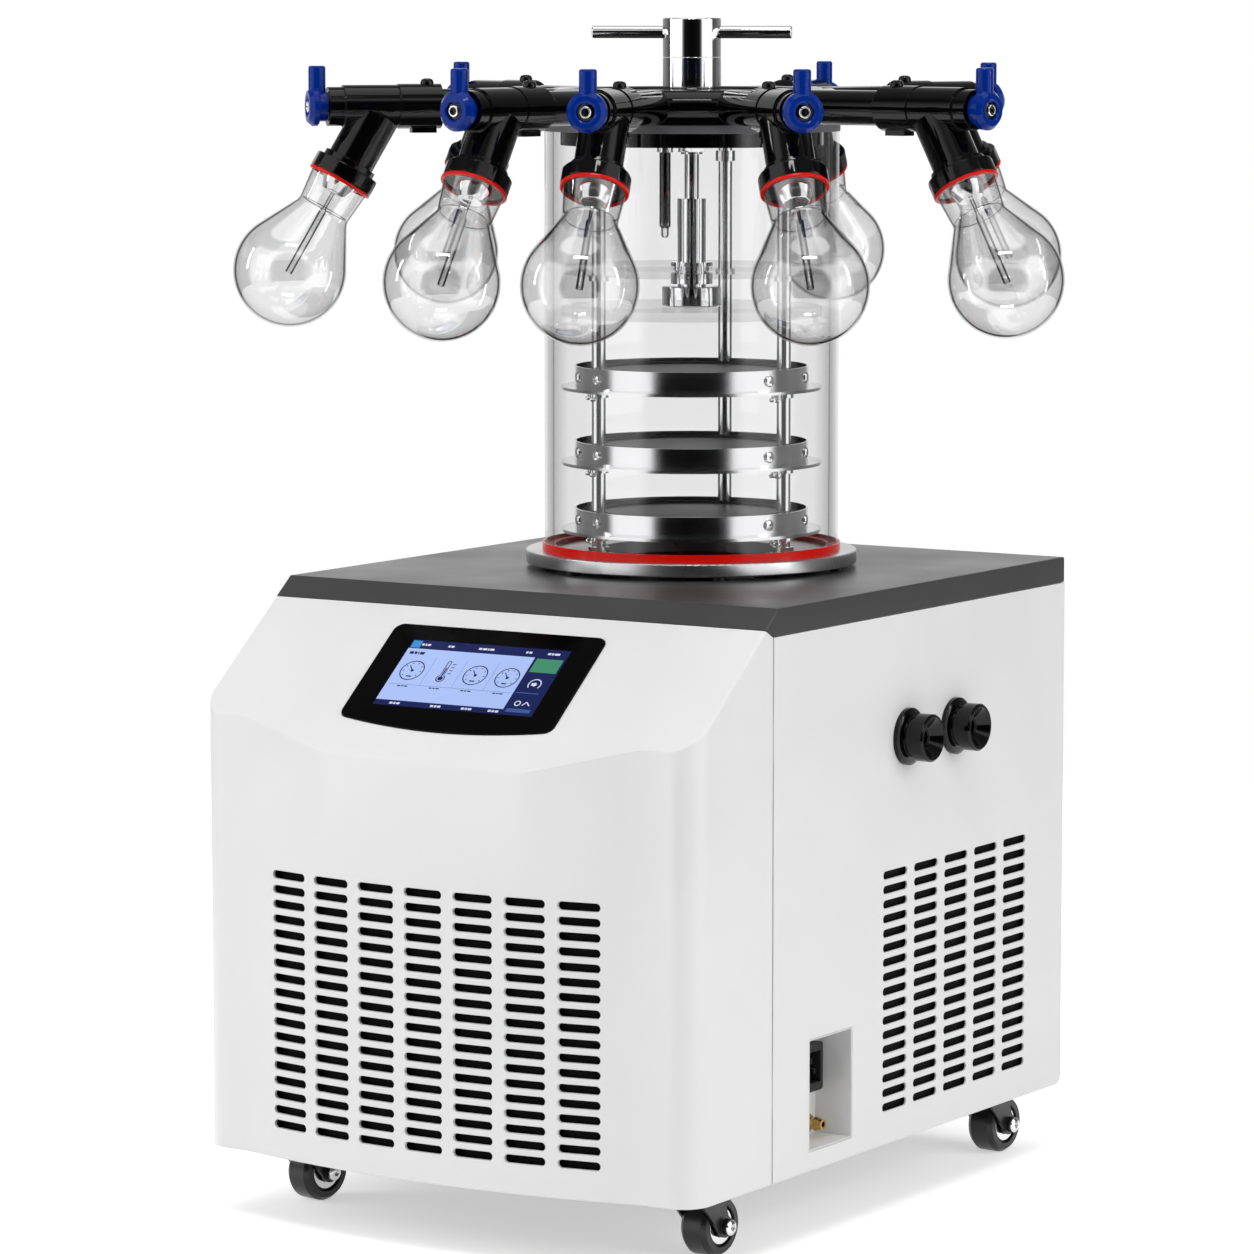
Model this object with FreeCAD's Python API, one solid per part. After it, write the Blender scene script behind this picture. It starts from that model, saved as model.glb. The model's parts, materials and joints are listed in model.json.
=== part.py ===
import FreeCAD, Part
import math
import os

# Benchtop freeze dryer with a clear stoppering chamber and an eight port manifold.
# Millimetres. Z is up from the floor, -Y is the front, +X the right-hand side seen from the
# front. The shapes are drawn about the axis of the drying chamber; each is then moved back by
# AXIS_Y, so that the origin of the files lies on the floor under the middle of the machine.

V = FreeCAD.Vector
X_AXIS = V(1, 0, 0)
Y_AXIS = V(0, 1, 0)
Z_AXIS = V(0, 0, 1)

AXIS_Y = 9.0

# ---- clearances ----
PANEL_GAP = 0.8
FIT_GAP = 0.4
RUN_GAP = 0.05
SLIDE_GAP = 0.3
AXIAL_GAP = 0.3

# ---- cabinet ----
CAB_WIDTH = 480.0
CAB_HEIGHT = 465.0
CAB_BACK = 230.0
WHEEL_R = 25.0
CASTER_HEAD = 8.0
SEAM_Y = -262.6
STRIP_Y = -384.0
STRIP_WIDTH = 46.5
BULGE = 24.0
CORNER_R = 25.0
SHEET = 1.5
SHELL = 3.0
CAP_WALL = 2.0
CAP_TOP_Y = -254.7
SKIRT_HEIGHT = 21.6
LIP_LENGTH = 25.0
SLOPE_DEG = 38.2
SLOPE_LENGTH = 160.0
ROLL_R = 84.0
ROLL_END_DEG = 80.0
FLANGE_WIDTH = 14.0
REAR_CORNER_R = 8.0

CAB_BOTTOM = 2 * WHEEL_R + CASTER_HEAD
CAB_TOP = CAB_BOTTOM + CAB_HEIGHT
HALF = CAB_WIDTH / 2
SKIRT_Z = CAB_TOP - SKIRT_HEIGHT
PANEL_TOP = SKIRT_Z - PANEL_GAP
KINK_X = HALF - STRIP_WIDTH

# ---- grilles ----
SLOT_HEIGHT = 7.0
ROW_PITCH = 12.2
FRONT_SLOT = 36.5
FRONT_PITCH = 47.0
FRONT_MARGIN = 25.0
SIDE_SLOT = 40.0
SIDE_PITCH = 51.7
SIDE_COLUMNS = 5
SIDE_FIRST_Y = -65.0
LOW_ROW = 28.5
SIDE_LOW_ROW = 31.5
GRILLE_HEAD = 79.0
SIDE_GRILLE_HEAD = 110.0

# ---- touch panel, on the slope ----
SCREEN_WIDTH = 206.0
SCREEN_TOP = 47.5
SCREEN_SIDE = 107.5
SCREEN_SAG = 10.0
SCREEN_CORNER = 9.0
SCREEN_PROUD = 1.2
MODULE_DEPTH = 24.0

# ---- right-hand side ----
RECESS_Y = -170.0
RECESS_WIDTH = 67.0
RECESS_LOW = 17.2
RECESS_HEIGHT = 90.0
RECESS_DEPTH = 34.0
PORT_Y = (-46.0, 34.5)
PORT_DROP = 126.0
PORT_FLANGE_R = 24.0
PORT_BODY_R = 15.0
PORT_MOUTH_R = 20.0
PORT_LENGTH = 25.0
PORT_BORE_R = 6.0

PORT_Z = CAB_TOP - PORT_DROP

# ---- chamber ----
BELL_R = 125.6
BELL_WALL = 7.5
BELL_HEIGHT = 352.6
FLANGE_MARGIN = 16.0
FLANGE_THICK = 11.0
FOOT_HEIGHT = 3.4
FOOT_R = 6.0
FOOT_COUNT = 6
TRAP_WALL = 1.5
TRAP_OVER_COMPRESSOR = 75.0
GASKET_BASE = 4.0
GASKET_LIP = 2.4
GASKET_WALL = 2.0
LID_GASKET = 7.0
SHELF_MARGIN = 6.6
ROD_INSET = 23.5
TRAP_INSET = 10.0

BELL_BORE = BELL_R - BELL_WALL
FLANGE_R = BELL_R + FLANGE_MARGIN
FOOT_CIRCLE = FLANGE_R - FLANGE_MARGIN * 2 / 3
SHELF_R = BELL_BORE - SHELF_MARGIN
ROD_CIRCLE = SHELF_R - ROD_INSET
TRAP_R = ROD_CIRCLE - TRAP_INSET
FLANGE_LOW = CAB_TOP + FOOT_HEIGHT
FLANGE_TOP = FLANGE_LOW + FLANGE_THICK
BELL_LOW = FLANGE_TOP + GASKET_BASE
BELL_TOP = BELL_LOW + BELL_HEIGHT

# ---- manifold ----
HUB_MARGIN = 3.9
HUB_THICK = 27.0
LID_MARGIN = 1.6
LID_THICK = 8.0
BOSS_WALL = 5.0
ARM_RISE = 14.7
VENT_R = 4.5
VENT_EDGE = 2.0
VENT_COUNT = 12
PLUG_GAP = 6.1
PLUG_DEPTH = 19.0
STUB_R = 14.5
DUCT_R = 10.0
PORT_BEARINGS = (-134.5, -93.5, -73.0, -42.5, -11.0, 67.5, 100.0, 161.5)
SOCKET_START = 218.0
SOCKET_DEPTH = 22.0
SOCKET_R = 18.8
SEAM_AT = 254.5
BODY_R = 18.0
BODY_END = 301.0
NECK_R = 16.4
NECK_END = 314.0
BRANCH_AT = 268.0
BRANCH_DEG = 30.0
BRANCH_R = 20.0
BRANCH_BORE_R = 11.0
BRANCH_LENGTH = 71.0
COLLAR_R = 23.0
NUT_R = 28.2
NUT_LENGTH = 13.0
SEAL_R = 28.0
SEAL_THICK = 3.0
KNOB_R = 16.5
KNOB_THICK = 16.0
KNOB_WAIST_R = 12.5
KNOB_RIM = 8.0
STEM_R = 5.0
LEVER_REACH = 34.0
LEVER_R = 7.2

HUB_R = BELL_R + HUB_MARGIN
PLUG_R = BELL_BORE - PLUG_GAP
HUB_LOW = BELL_TOP + LID_GASKET
HUB_TOP = HUB_LOW + HUB_THICK
ARM_Z = HUB_LOW + ARM_RISE

# ---- flasks ----
MOUTH_R = 25.4
THROAT_R = 22.8
FLASK_NECK = 19.0
FLASK_BULB_R = 47.5
FLASK_SHOULDER_R = 30.0
FLASK_CONE_DEG = 29.0
GLASS = 2.0
BUNG_R = 18.5
BUNG_LENGTH = 21.0
DIP_R = 2.3
DIP_LENGTH = 83.0

# ---- drying rack ----
ROD_R = 6.0
ROD_BEARINGS = (-121.5, 4.5, 102.5)
ROD_TOP_GAP = 4.0
SHELF_THICK = 2.5
SHELF_LEVELS = (0.044, 0.207, 0.389)
HOOP_INSET = 11.5
HOOP_WALL = 1.5
HOOP_HEIGHT = 17.5
TRAY_INSET = 9.0
TRAY_WALL = 1.0
TRAY_DROP = 2.0
TRAY_DISH = 2.0

HOOP_R = SHELF_R - HOOP_INSET
TRAY_R = ROD_CIRCLE - TRAY_INSET

# ---- stoppering press ----
POST_R = 25.0
POST_HEIGHT = 28.0
HEAD_HEIGHT = 33.0
BAR_R = 5.3
BAR_LENGTH = 172.0
BAR_BEARING = 22.5
BAR_DROP = 12.0
SPINDLE_R = 6.2
SPINDLE_OVERLAP = 48.0
COLLAR_NUT_R = 13.0
SLEEVE_R = 12.2
SLEEVE_LENGTH = 74.5
PUCK_R = 25.5
PUCK_THICK = 17.0
PRESS_PLATE_GAP = 7.1
PRESS_PLATE_THICK = 8.0
PRESS_DROP = 36.0
GUIDE_LEVEL = 0.657
GUIDE_THICK = 6.0
BUSH_R = 18.0
BUSH_BODY_R = 15.0
BUSH_EDGE = 9.0
PROBE_R = 4.8
PROBE_LENGTH = 70.0
PROBE_TIP_R = 3.2
PROBE_TIP = 10.0
PROBE_AT = (35.0, 162.5)

PRESS_PLATE_R = BELL_BORE - PRESS_PLATE_GAP

# ---- casters ----
WHEEL_WIDTH = 25.0
AXLE_R = 4.0
TRAIL = 18.0
FORK_PLATE = 2.5
CROWN_THICK = 3.0
CASTER_PLATE = 2.5
CASTER_PAD = 22.0
CASTER_INSET_X = 45.0
CASTER_INSET_FRONT = 79.0
CASTER_INSET_BACK = 58.0
CASTER_TURNS = (-10.0, -4.0, -4.0, -7.0)

# ---- cooling, inside ----
COMPRESSOR_R = 72.0
COMPRESSOR_HEIGHT = 150.0
COMPRESSOR_AT = (70.0, 90.0)
CONDENSER_WIDTH = 300.0
CONDENSER_DEPTH = 36.0
CONDENSER_HEIGHT = 230.0
CONDENSER_Y = -342.0
FIN_COUNT = 30
FIN_THICK = 0.8
FAN_R = 78.0
FAN_TIP_GAP = 4.0
FAN_BLADES = 5
FAN_HUB_R = 24.0
FAN_SHAFT_R = 3.0
COIL_R = 4.0
COIL_PITCH = 20.0
COIL_TURNS = 6


# ---- shape helpers ----
def box(x0, x1, y0, y1, z0, z1):
    return Part.makeBox(x1 - x0, y1 - y0, z1 - z0, V(x0, y0, z0))


def bar(radius, start, end):
    run = end - start
    return Part.makeCylinder(radius, run.Length, start, run)


def disc(radius, z0, z1, x=0.0, y=0.0):
    return Part.makeCylinder(radius, z1 - z0, V(x, y, z0))


def ring(outer, inner, z0, z1):
    return disc(outer, z0, z1).cut(disc(inner, z0 - 1, z1 + 1))


def outline(start, *steps):
    """Closed face: each step is a point to run straight to, or a pair (through, end) for an arc."""
    edges = []
    here = start
    for step in steps:
        if isinstance(step, tuple):
            through, end = step
            edges.append(Part.Arc(here, through, end).toShape())
        else:
            end = step
            edges.append(Part.LineSegment(here, end).toShape())
        here = end
    if here.distanceToPoint(start) > 1e-6:
        edges.append(Part.LineSegment(here, start).toShape())
    return Part.Face(Part.Wire(edges))


def prism(corner, z0, z1, sides=6, first=0.0):
    """Upright prism with its corners at this radius."""
    step = 360.0 / sides
    corners = [polar(corner, first + step * k, z0) for k in range(sides + 1)]
    return Part.Face(Part.makePolygon(corners)).extrude(V(0, 0, z1 - z0))


def turned(points):
    """Solid turned about Z from (radius, z) corners."""
    corners = [V(r, 0, z) for r, z in points]
    return outline(corners[0], *corners[1:]).revolve(V(0, 0, 0), Z_AXIS, 360)


def group(shapes):
    return Part.makeCompound(list(shapes))


def joined(shapes):
    first = shapes[0]
    return first.multiFuse(shapes[1:]).removeSplitter()


def soften(shape, radius, chosen):
    """Round the edges whose middle point passes the test."""
    edges = []
    for edge in shape.Edges:
        middle = edge.valueAt((edge.FirstParameter + edge.LastParameter) / 2)
        if chosen(edge, middle):
            edges.append(edge)
    return shape.makeFillet(radius, edges)


def circle_of(radius, z=None):
    """Test for full circles of this radius, at this height where one is given."""
    def chosen(edge, middle):
        if len(edge.Vertexes) != 1 or not isinstance(edge.Curve, Part.Circle):
            return False
        level = z is None or abs(edge.Curve.Center.z - z) < 1e-6
        return level and abs(edge.Curve.Radius - radius) < 1e-6
    return chosen


def upright(edge, middle):
    """True for a straight edge that runs along Z."""
    ends = edge.Vertexes
    if len(ends) != 2:
        return False
    run = ends[1].Point - ends[0].Point
    return run.Length > 1 and abs(abs(run.z) - run.Length) < 1e-6


def turn(shape, degrees, x=0.0, y=0.0):
    copy = shape.copy()
    copy.rotate(V(x, y, 0), Z_AXIS, degrees)
    return copy


def polar(radius, bearing, z=0.0):
    angle = math.radians(bearing)
    return V(radius * math.cos(angle), radius * math.sin(angle), z)


def save(name, shape):
    placed = shape.copy()
    placed.translate(V(0, AXIS_Y, 0))
    placed.exportStep("parts/" + name + ".step")


# ---- the slope at the front of the cabinet, as a line and an arc in the YZ plane ----
def slope_dir(degrees):
    """Unit vectors down the slope and out of it, where it leans at this angle."""
    a = math.radians(degrees)
    down = V(0, -math.cos(a), -math.sin(a))
    out = V(0, -math.sin(a), math.cos(a))
    return down, out


def slope_point(along, depth=0.0):
    down, out = slope_dir(SLOPE_DEG)
    return V(0, CAP_TOP_Y, CAB_TOP) + down * along - out * depth


def roll_point(degrees, depth=0.0):
    """Point on the arc that rolls the slope over to the front face."""
    out_start = slope_dir(SLOPE_DEG)[1]
    centre = slope_point(SLOPE_LENGTH) - out_start * ROLL_R
    return centre + slope_dir(degrees)[1] * (ROLL_R - depth)


def under_slope(depth, bottom, top_steps):
    """Face in the YZ plane under the slope, closed by the given steps at its upper end."""
    past = 60.0
    roll_end = roll_point(ROLL_END_DEG, depth)
    tail = roll_end + slope_dir(ROLL_END_DEG)[0] * past
    middle = roll_point((SLOPE_DEG + ROLL_END_DEG) / 2, depth)
    back = top_steps[-1].y
    return outline(
        V(0, back, bottom),
        V(0, tail.y, bottom),
        tail,
        roll_end,
        (middle, slope_point(SLOPE_LENGTH, depth)),
        *top_steps,
    )


def along_x(face, half):
    face.translate(V(-half, 0, 0))
    return face.extrude(V(2 * half, 0, 0))


CREASE_Z = roll_point(ROLL_END_DEG - 8).z


# ---- cabinet ----
def cover_plan(inset, back):
    """Outline of the front cover seen from above, drawn in by the wall."""
    side = HALF - inset
    front = STRIP_Y + inset
    nose = STRIP_Y - BULGE + inset
    radius = CORNER_R - inset
    cx = HALF - CORNER_R
    cy = STRIP_Y + CORNER_R
    dent = radius * math.sqrt(0.5)
    return outline(
        V(side, back, 0),
        V(side, cy, 0),
        (V(cx + dent, cy - dent, 0), V(cx, front, 0)),
        V(KINK_X, front, 0),
        (V(0, nose, 0), V(-KINK_X, front, 0)),
        V(-cx, front, 0),
        (V(-cx - dent, cy - dent, 0), V(-side, cy, 0)),
        V(-side, back, 0),
    )


def cover_prism(inset, back, z0, z1):
    face = cover_plan(inset, back)
    face.translate(V(0, 0, z0))
    return face.extrude(V(0, 0, z1 - z0))


def slot(length, height, depth):
    """Round-ended cutter, long in X, tall in Z, running along Y."""
    r = height / 2
    flat = length / 2 - r
    face = outline(
        V(-flat, 0, -r),
        V(flat, 0, -r),
        (V(flat + r, 0, 0), V(flat, 0, r)),
        V(-flat, 0, r),
        (V(-flat - r, 0, 0), V(-flat, 0, -r)),
    )
    return face.extrude(V(0, depth, 0))


def slot_field(columns, rows, pitch, length, first_row, depth):
    """Rows of slots, centred on X, the lowest row at first_row."""
    cutters = []
    for column in range(columns):
        x = (column - (columns - 1) / 2) * pitch
        for row in range(rows):
            cutter = slot(length, SLOT_HEIGHT, depth)
            cutter.translate(V(x, 0, first_row + row * ROW_PITCH))
            cutters.append(cutter)
    return group(cutters)


def screen_outline(grow):
    half = SCREEN_WIDTH / 2 + grow
    top = -SCREEN_TOP + grow
    low = -SCREEN_TOP - SCREEN_SIDE - grow
    return outline(
        V(-half, top, 0),
        V(half, top, 0),
        V(half, low, 0),
        (V(0, low - SCREEN_SAG, 0), V(-half, low, 0)),
    )


def screen_prism(grow, low, high):
    face = screen_outline(grow)
    face.translate(V(0, 0, low))
    block = face.extrude(V(0, 0, high - low))
    return soften(block, SCREEN_CORNER, upright)


def onto_slope(shape):
    """Lay a shape drawn flat, with Y up the slope, onto the slope."""
    shape.rotate(V(0, 0, 0), X_AXIS, SLOPE_DEG)
    shape.translate(V(0, CAP_TOP_Y, CAB_TOP))
    return shape


def front_cover():
    back = SEAM_Y - PANEL_GAP
    top = [slope_point(LIP_LENGTH + PANEL_GAP), V(0, back, PANEL_TOP)]
    outer = cover_prism(0, back, CAB_BOTTOM, CAB_TOP)
    outer = outer.common(along_x(under_slope(0, CAB_BOTTOM, top), CAB_WIDTH))
    slope_low = roll_point(ROLL_END_DEG).z - 30

    def crest(edge, middle):
        on_side = abs(middle.x) > KINK_X + 1
        sloping = not upright(edge, middle) and middle.y < back - 14
        return on_side and sloping and slope_low < middle.z < slope_point(LIP_LENGTH + 4).z

    outer = soften(outer, 2.5, crest)
    open_back = back + 20
    inner = cover_prism(SHELL, open_back, CAB_BOTTOM - 1, CAB_TOP)
    inner_top = [slope_point(-40, SHELL), V(0, open_back, slope_point(-40, SHELL).z)]
    hollow = inner.common(along_x(under_slope(SHELL, CAB_BOTTOM - 1, inner_top), CAB_WIDTH))
    shell = outer.cut(hollow)
    span = 2 * (KINK_X - FRONT_MARGIN) + FRONT_PITCH - FRONT_SLOT
    columns = int(span // FRONT_PITCH)
    low = CAB_BOTTOM + LOW_ROW
    rows = int((CREASE_Z - GRILLE_HEAD - low) // ROW_PITCH) + 1
    slots = slot_field(columns, rows, FRONT_PITCH, FRONT_SLOT, low, BULGE + 20)
    slots.translate(V(0, STRIP_Y - BULGE - 10, 0))
    window = onto_slope(screen_prism(FIT_GAP, -2 * SHELL, SHELL))
    return joined([shell.cut(group([slots, window]))] + cover_tabs())


def cover_tabs():
    """Tabs inside the cover: two on each side panel's folded edge, one on the base pan."""
    tabs = []
    fold = SEAM_Y + PANEL_GAP
    for x0 in (-HALF + 1, HALF - FLANGE_WIDTH + 2):
        x1 = x0 + FLANGE_WIDTH - 3
        for z in (CAB_BOTTOM + 60, SKIRT_Z - 100):
            tabs.append(box(x0, x1, fold - 12, fold, z, z + 30))
        tabs.append(box(x0, x1, STRIP_Y + 45, STRIP_Y + 75, FLOOR_Z, FLOOR_Z + 3))
    return tabs


def touch_panel():
    glass = screen_prism(0, -SHELL, SCREEN_PROUD)
    glass = soften(glass, 0.5, lambda edge, middle: middle.z > SCREEN_PROUD - 0.01)
    half = SCREEN_WIDTH / 2
    low = -SCREEN_TOP - SCREEN_SIDE + 6
    rim = box(-half - 6, half + 6, low, -SCREEN_TOP + 6, -SHELL - 2, -SHELL)
    body = box(-half + 8, half - 8, low, -SCREEN_TOP - 6, -MODULE_DEPTH, -SHELL)
    return onto_slope(joined([glass, rim, body]))


def side_sheet(low_corner):
    """Flat sheet of a side panel in the YZ plane, its low rear corner rounded."""
    front = SEAM_Y + PANEL_GAP
    r = REAR_CORNER_R
    bend = r * (1 - math.sqrt(0.5))
    face = outline(
        V(0, front, low_corner),
        V(0, CAB_BACK - r, low_corner),
        (V(0, CAB_BACK - bend, low_corner + bend), V(0, CAB_BACK, low_corner + r)),
        V(0, CAB_BACK, PANEL_TOP),
        V(0, front, PANEL_TOP),
    )
    return face


def side_slots(depth):
    """The grille of a side or rear panel, centred on X, cut along Y."""
    low = CAB_BOTTOM + SIDE_LOW_ROW
    rows = int((PORT_Z - SIDE_GRILLE_HEAD - low) // ROW_PITCH) + 1
    return slot_field(SIDE_COLUMNS, rows, SIDE_PITCH, SIDE_SLOT, low, depth)


def side_panel():
    """Right-hand panel: a sheet with folded edges and a grille."""
    face = side_sheet(CAB_BOTTOM)
    face.translate(V(HALF - SHEET, 0, 0))
    sheet = face.extrude(V(SHEET, 0, 0))
    front = SEAM_Y + PANEL_GAP
    inside = HALF - FLANGE_WIDTH
    back = CAB_BACK - REAR_CORNER_R - SHEET
    folds = [
        box(inside, HALF - SHEET, front, front + SHEET, FLOOR_Z, PANEL_TOP),
        box(inside, HALF - SHEET, front, back, CAB_BOTTOM, CAB_BOTTOM + SHEET),
        box(inside, HALF - SHEET, front, back, PANEL_TOP - SHEET, PANEL_TOP),
    ]
    panel = joined([sheet] + folds)
    slots = side_slots(3 * SHEET)
    slots.rotate(V(0, 0, 0), Z_AXIS, 90)
    centre = SIDE_FIRST_Y + (SIDE_COLUMNS - 1) * SIDE_PITCH / 2
    slots.translate(V(HALF + SHEET, centre, 0))
    return panel.cut(slots)


def recess_box(grow, x0, x1):
    half = RECESS_WIDTH / 2 + grow
    low = CAB_BOTTOM + RECESS_LOW - grow
    high = CAB_BOTTOM + RECESS_LOW + RECESS_HEIGHT + grow
    return box(x0, x1, RECESS_Y - half, RECESS_Y + half, low, high)


def right_panel():
    cutters = [recess_box(SHEET, HALF - 2 * SHEET, HALF + 1)]
    for y in PORT_Y:
        start = V(HALF - 2 * SHEET, y, PORT_Z)
        cutters.append(bar(PORT_BODY_R + FIT_GAP, start, start + X_AXIS * 10))
    return side_panel().cut(group(cutters))


def left_panel():
    return side_panel().mirror(V(0, 0, 0), X_AXIS)


def rear_panel():
    half = HALF - SHEET - FIT_GAP
    low = CAB_BOTTOM + SHEET
    sheet = box(-half, half, CAB_BACK - SHEET, CAB_BACK, low + REAR_CORNER_R, PANEL_TOP)
    slots = side_slots(20)
    slots.translate(V(0, CAB_BACK - 10, 0))
    return sheet.cut(slots)


def base_pan():
    low = CAB_BOTTOM + SHEET
    high = low + CAP_WALL
    half = HALF - SHEET - FIT_GAP
    back = CAB_BACK - SHEET
    front_part = cover_prism(SHELL + FIT_GAP, SEAM_Y + 10, low, high)
    turn_up = low + 16
    parts = [
        front_part,
        box(-half, half, SEAM_Y + 5, back, low, high),
        box(-half, -half + CAP_WALL, SEAM_Y + 5, back, low, turn_up),
        box(half - CAP_WALL, half, SEAM_Y + 5, RECESS_Y - RECESS_WIDTH / 2 - 10, low, turn_up),
        box(-half, half, back - CAP_WALL, back, low, turn_up),
    ]
    return joined(parts)


def top_cover():
    outer_face = outline(
        V(0, CAB_BACK, SKIRT_Z),
        V(0, CAB_BACK, CAB_TOP),
        V(0, CAP_TOP_Y, CAB_TOP),
        slope_point(LIP_LENGTH),
        V(0, SEAM_Y, SKIRT_Z),
    )
    outer = along_x(outer_face, HALF)

    def rim(edge, middle):
        high = middle.z > SKIRT_Z + 1
        lip_end = slope_point(LIP_LENGTH).z
        hem = middle.y < SEAM_Y and middle.z < lip_end + 1
        return high and not hem

    outer = soften(outer, 1.6, rim)
    inner_top = CAB_TOP - CAP_WALL
    down, out = slope_dir(SLOPE_DEG)
    start = slope_point(0, CAP_WALL)
    start = start + down * ((start.z - inner_top) / -down.z)
    low = SKIRT_Z - 20
    toe = start + down * ((start.z - low) / -down.z)
    inner_back = CAB_BACK - CAP_WALL
    inner_face = outline(
        V(0, inner_back, low),
        V(0, inner_back, inner_top),
        start,
        toe,
    )
    inner = along_x(inner_face, HALF - CAP_WALL)
    mouth = disc(TRAP_R + TRAP_WALL + FIT_GAP, CAB_TOP - 10, CAB_TOP + 10)
    return joined([outer.cut(inner).cut(mouth)] + cap_blocks(inner_top + 0.5))


def cap_blocks(top):
    """Blocks under the cover that stand on the side panels' folded edges."""
    blocks = []
    for x0 in (-HALF + CAP_WALL - 0.5, HALF - FLANGE_WIDTH + 1):
        x1 = x0 + FLANGE_WIDTH - CAP_WALL - 0.5
        for y in (SEAM_Y + 40, 0, CAB_BACK - 60):
            blocks.append(box(x0, x1, y, y + 20, PANEL_TOP, top))
    return blocks


# ---- right-hand fittings ----
RECESS_BACK = HALF - RECESS_DEPTH


def service_recess():
    outer = recess_box(SHEET - FIT_GAP, RECESS_BACK - SHEET, HALF - 0.2)
    inner = recess_box(0, RECESS_BACK, HALF + 1)
    collar = recess_box(8, HALF - 2 * SHEET, HALF - SHEET)
    return outer.fuse(collar).cut(inner)


def mains_inlet():
    """Three pin inlet: a shroud that stands into the recess, hollow, with its pins."""
    y0 = RECESS_Y - 5
    y1 = y0 + 30
    z0 = CAB_BOTTOM + RECESS_LOW + 39
    z1 = z0 + 40
    x0 = RECESS_BACK
    shroud = box(x0, x0 + 12, y0, y1, z0, z1)
    shroud = soften(shroud, 3, lambda edge, middle: abs(edge.Length - 12) < 0.01)
    cavity = box(x0 + 2, x0 + 13, y0 + 4, y1 - 4, z0 + 7, z1 - 7)
    pins = []
    for dy, dz in ((0, 5), (-5, -4), (5, -4)):
        y = (y0 + y1) / 2 + dy
        z = (z0 + z1) / 2 + dz
        pins.append(box(x0 + 1, x0 + 10, y - 1, y + 1, z - 2, z + 2))
    return joined([shroud.cut(cavity)] + pins)


def drain_fitting():
    """Hose barb with a hexagon, on the back wall of the recess."""
    start = V(RECESS_BACK, RECESS_Y + 12, CAB_BOTTOM + RECESS_LOW + 12)
    nut = prism(8, 0, 7)
    nut.rotate(V(0, 0, 0), Y_AXIS, 90)
    nut.translate(start)
    barb = bar(4.5, start, start + X_AXIS * 20)
    rib = Part.makeCone(6, 4.5, 5, start + X_AXIS * 13, X_AXIS)
    bore = bar(2.5, start - X_AXIS, start + X_AXIS * 21)
    return joined([nut, barb, rib]).cut(bore)


def vacuum_port(y):
    """Hose port turned in one piece: panel flange, waist and a mouth with a conical funnel."""
    waist = PORT_MOUTH_R - 3
    body = turned((
        (PORT_BORE_R, -14),
        (PORT_BODY_R, -14),
        (PORT_BODY_R, 0),
        (PORT_FLANGE_R, 0),
        (PORT_FLANGE_R, 3.5),
        (PORT_FLANGE_R - 2, 5),
        (waist, 6),
        (waist, 11),
        (PORT_MOUTH_R, 12.5),
        (PORT_MOUTH_R, PORT_LENGTH - 1.5),
        (PORT_MOUTH_R - 1.5, PORT_LENGTH),
        (waist, PORT_LENGTH),
        (PORT_BORE_R + 3, PORT_LENGTH - 9),
        (PORT_BORE_R, PORT_LENGTH - 9),
    ))
    body.rotate(V(0, 0, 0), Y_AXIS, 90)
    body.translate(V(HALF, y, PORT_Z))
    return body


# ---- chamber ----
def chamber_flange():
    plate = ring(FLANGE_R, TRAP_R, FLANGE_LOW, FLANGE_TOP)
    return soften(plate, 1.0, circle_of(FLANGE_R))


def flange_feet():
    feet = []
    for k in range(FOOT_COUNT):
        place = polar(FOOT_CIRCLE, 360.0 * k / FOOT_COUNT + 12)
        feet.append(disc(FOOT_R, CAB_TOP, FLANGE_LOW, place.x, place.y))
    return group(feet)


def chamber_gasket():
    lip = BELL_R + RUN_GAP
    outer = BELL_R + GASKET_WALL
    inner = BELL_R - BELL_WALL - GASKET_WALL
    return turned((
        (inner, FLANGE_TOP),
        (outer, FLANGE_TOP),
        (outer, BELL_LOW + GASKET_LIP),
        (lip, BELL_LOW + GASKET_LIP),
        (lip, BELL_LOW),
        (inner, BELL_LOW),
    ))


def bell_cylinder():
    return ring(BELL_R, BELL_R - BELL_WALL, BELL_LOW, BELL_TOP)


def lid_gasket():
    return ring(BELL_R + 0.8, PLUG_R + FIT_GAP, BELL_TOP, HUB_LOW)


# ---- manifold ----
def manifold_hub():
    """Cast lid: plug and plate, with a hollow ring on top that the stubs leave and the vents feed."""
    plug_low = HUB_LOW - PLUG_DEPTH
    ring_r = HUB_R - STUB_R
    parts = [
        disc(BELL_R + LID_MARGIN, HUB_LOW, HUB_LOW + LID_THICK),
        disc(PLUG_R, plug_low, HUB_LOW + 1),
        disc(POST_R + BOSS_WALL, HUB_LOW, HUB_TOP),
        Part.makeTorus(ring_r, STUB_R, V(0, 0, ARM_Z), Z_AXIS),
    ]
    cuts = [
        Part.makeTorus(ring_r, DUCT_R, V(0, 0, ARM_Z), Z_AXIS),
        disc(SPINDLE_R + 3 + RUN_GAP, plug_low - 1, HUB_TOP + 1),
    ]
    for bearing in PORT_BEARINGS:
        inner = polar(ring_r, bearing, ARM_Z)
        outer = polar(SOCKET_START + SOCKET_DEPTH, bearing, ARM_Z)
        parts.append(bar(STUB_R, inner, outer))
        cuts.append(bar(DUCT_R, inner, outer + polar(1, bearing)))
    for k in range(VENT_COUNT):
        place = polar(PLUG_R - VENT_EDGE - VENT_R, 360.0 * k / VENT_COUNT)
        cuts.append(disc(VENT_R, plug_low - 1, ARM_Z, place.x, place.y))
    return joined(parts).cut(joined(cuts))


def branch_dir():
    a = math.radians(BRANCH_DEG)
    return V(math.sin(a), 0, -math.cos(a))


def on_branch(along):
    """Point on the branch's axis for the arm that runs along +X."""
    return V(BRANCH_AT, 0, ARM_Z) + branch_dir() * along


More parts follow.
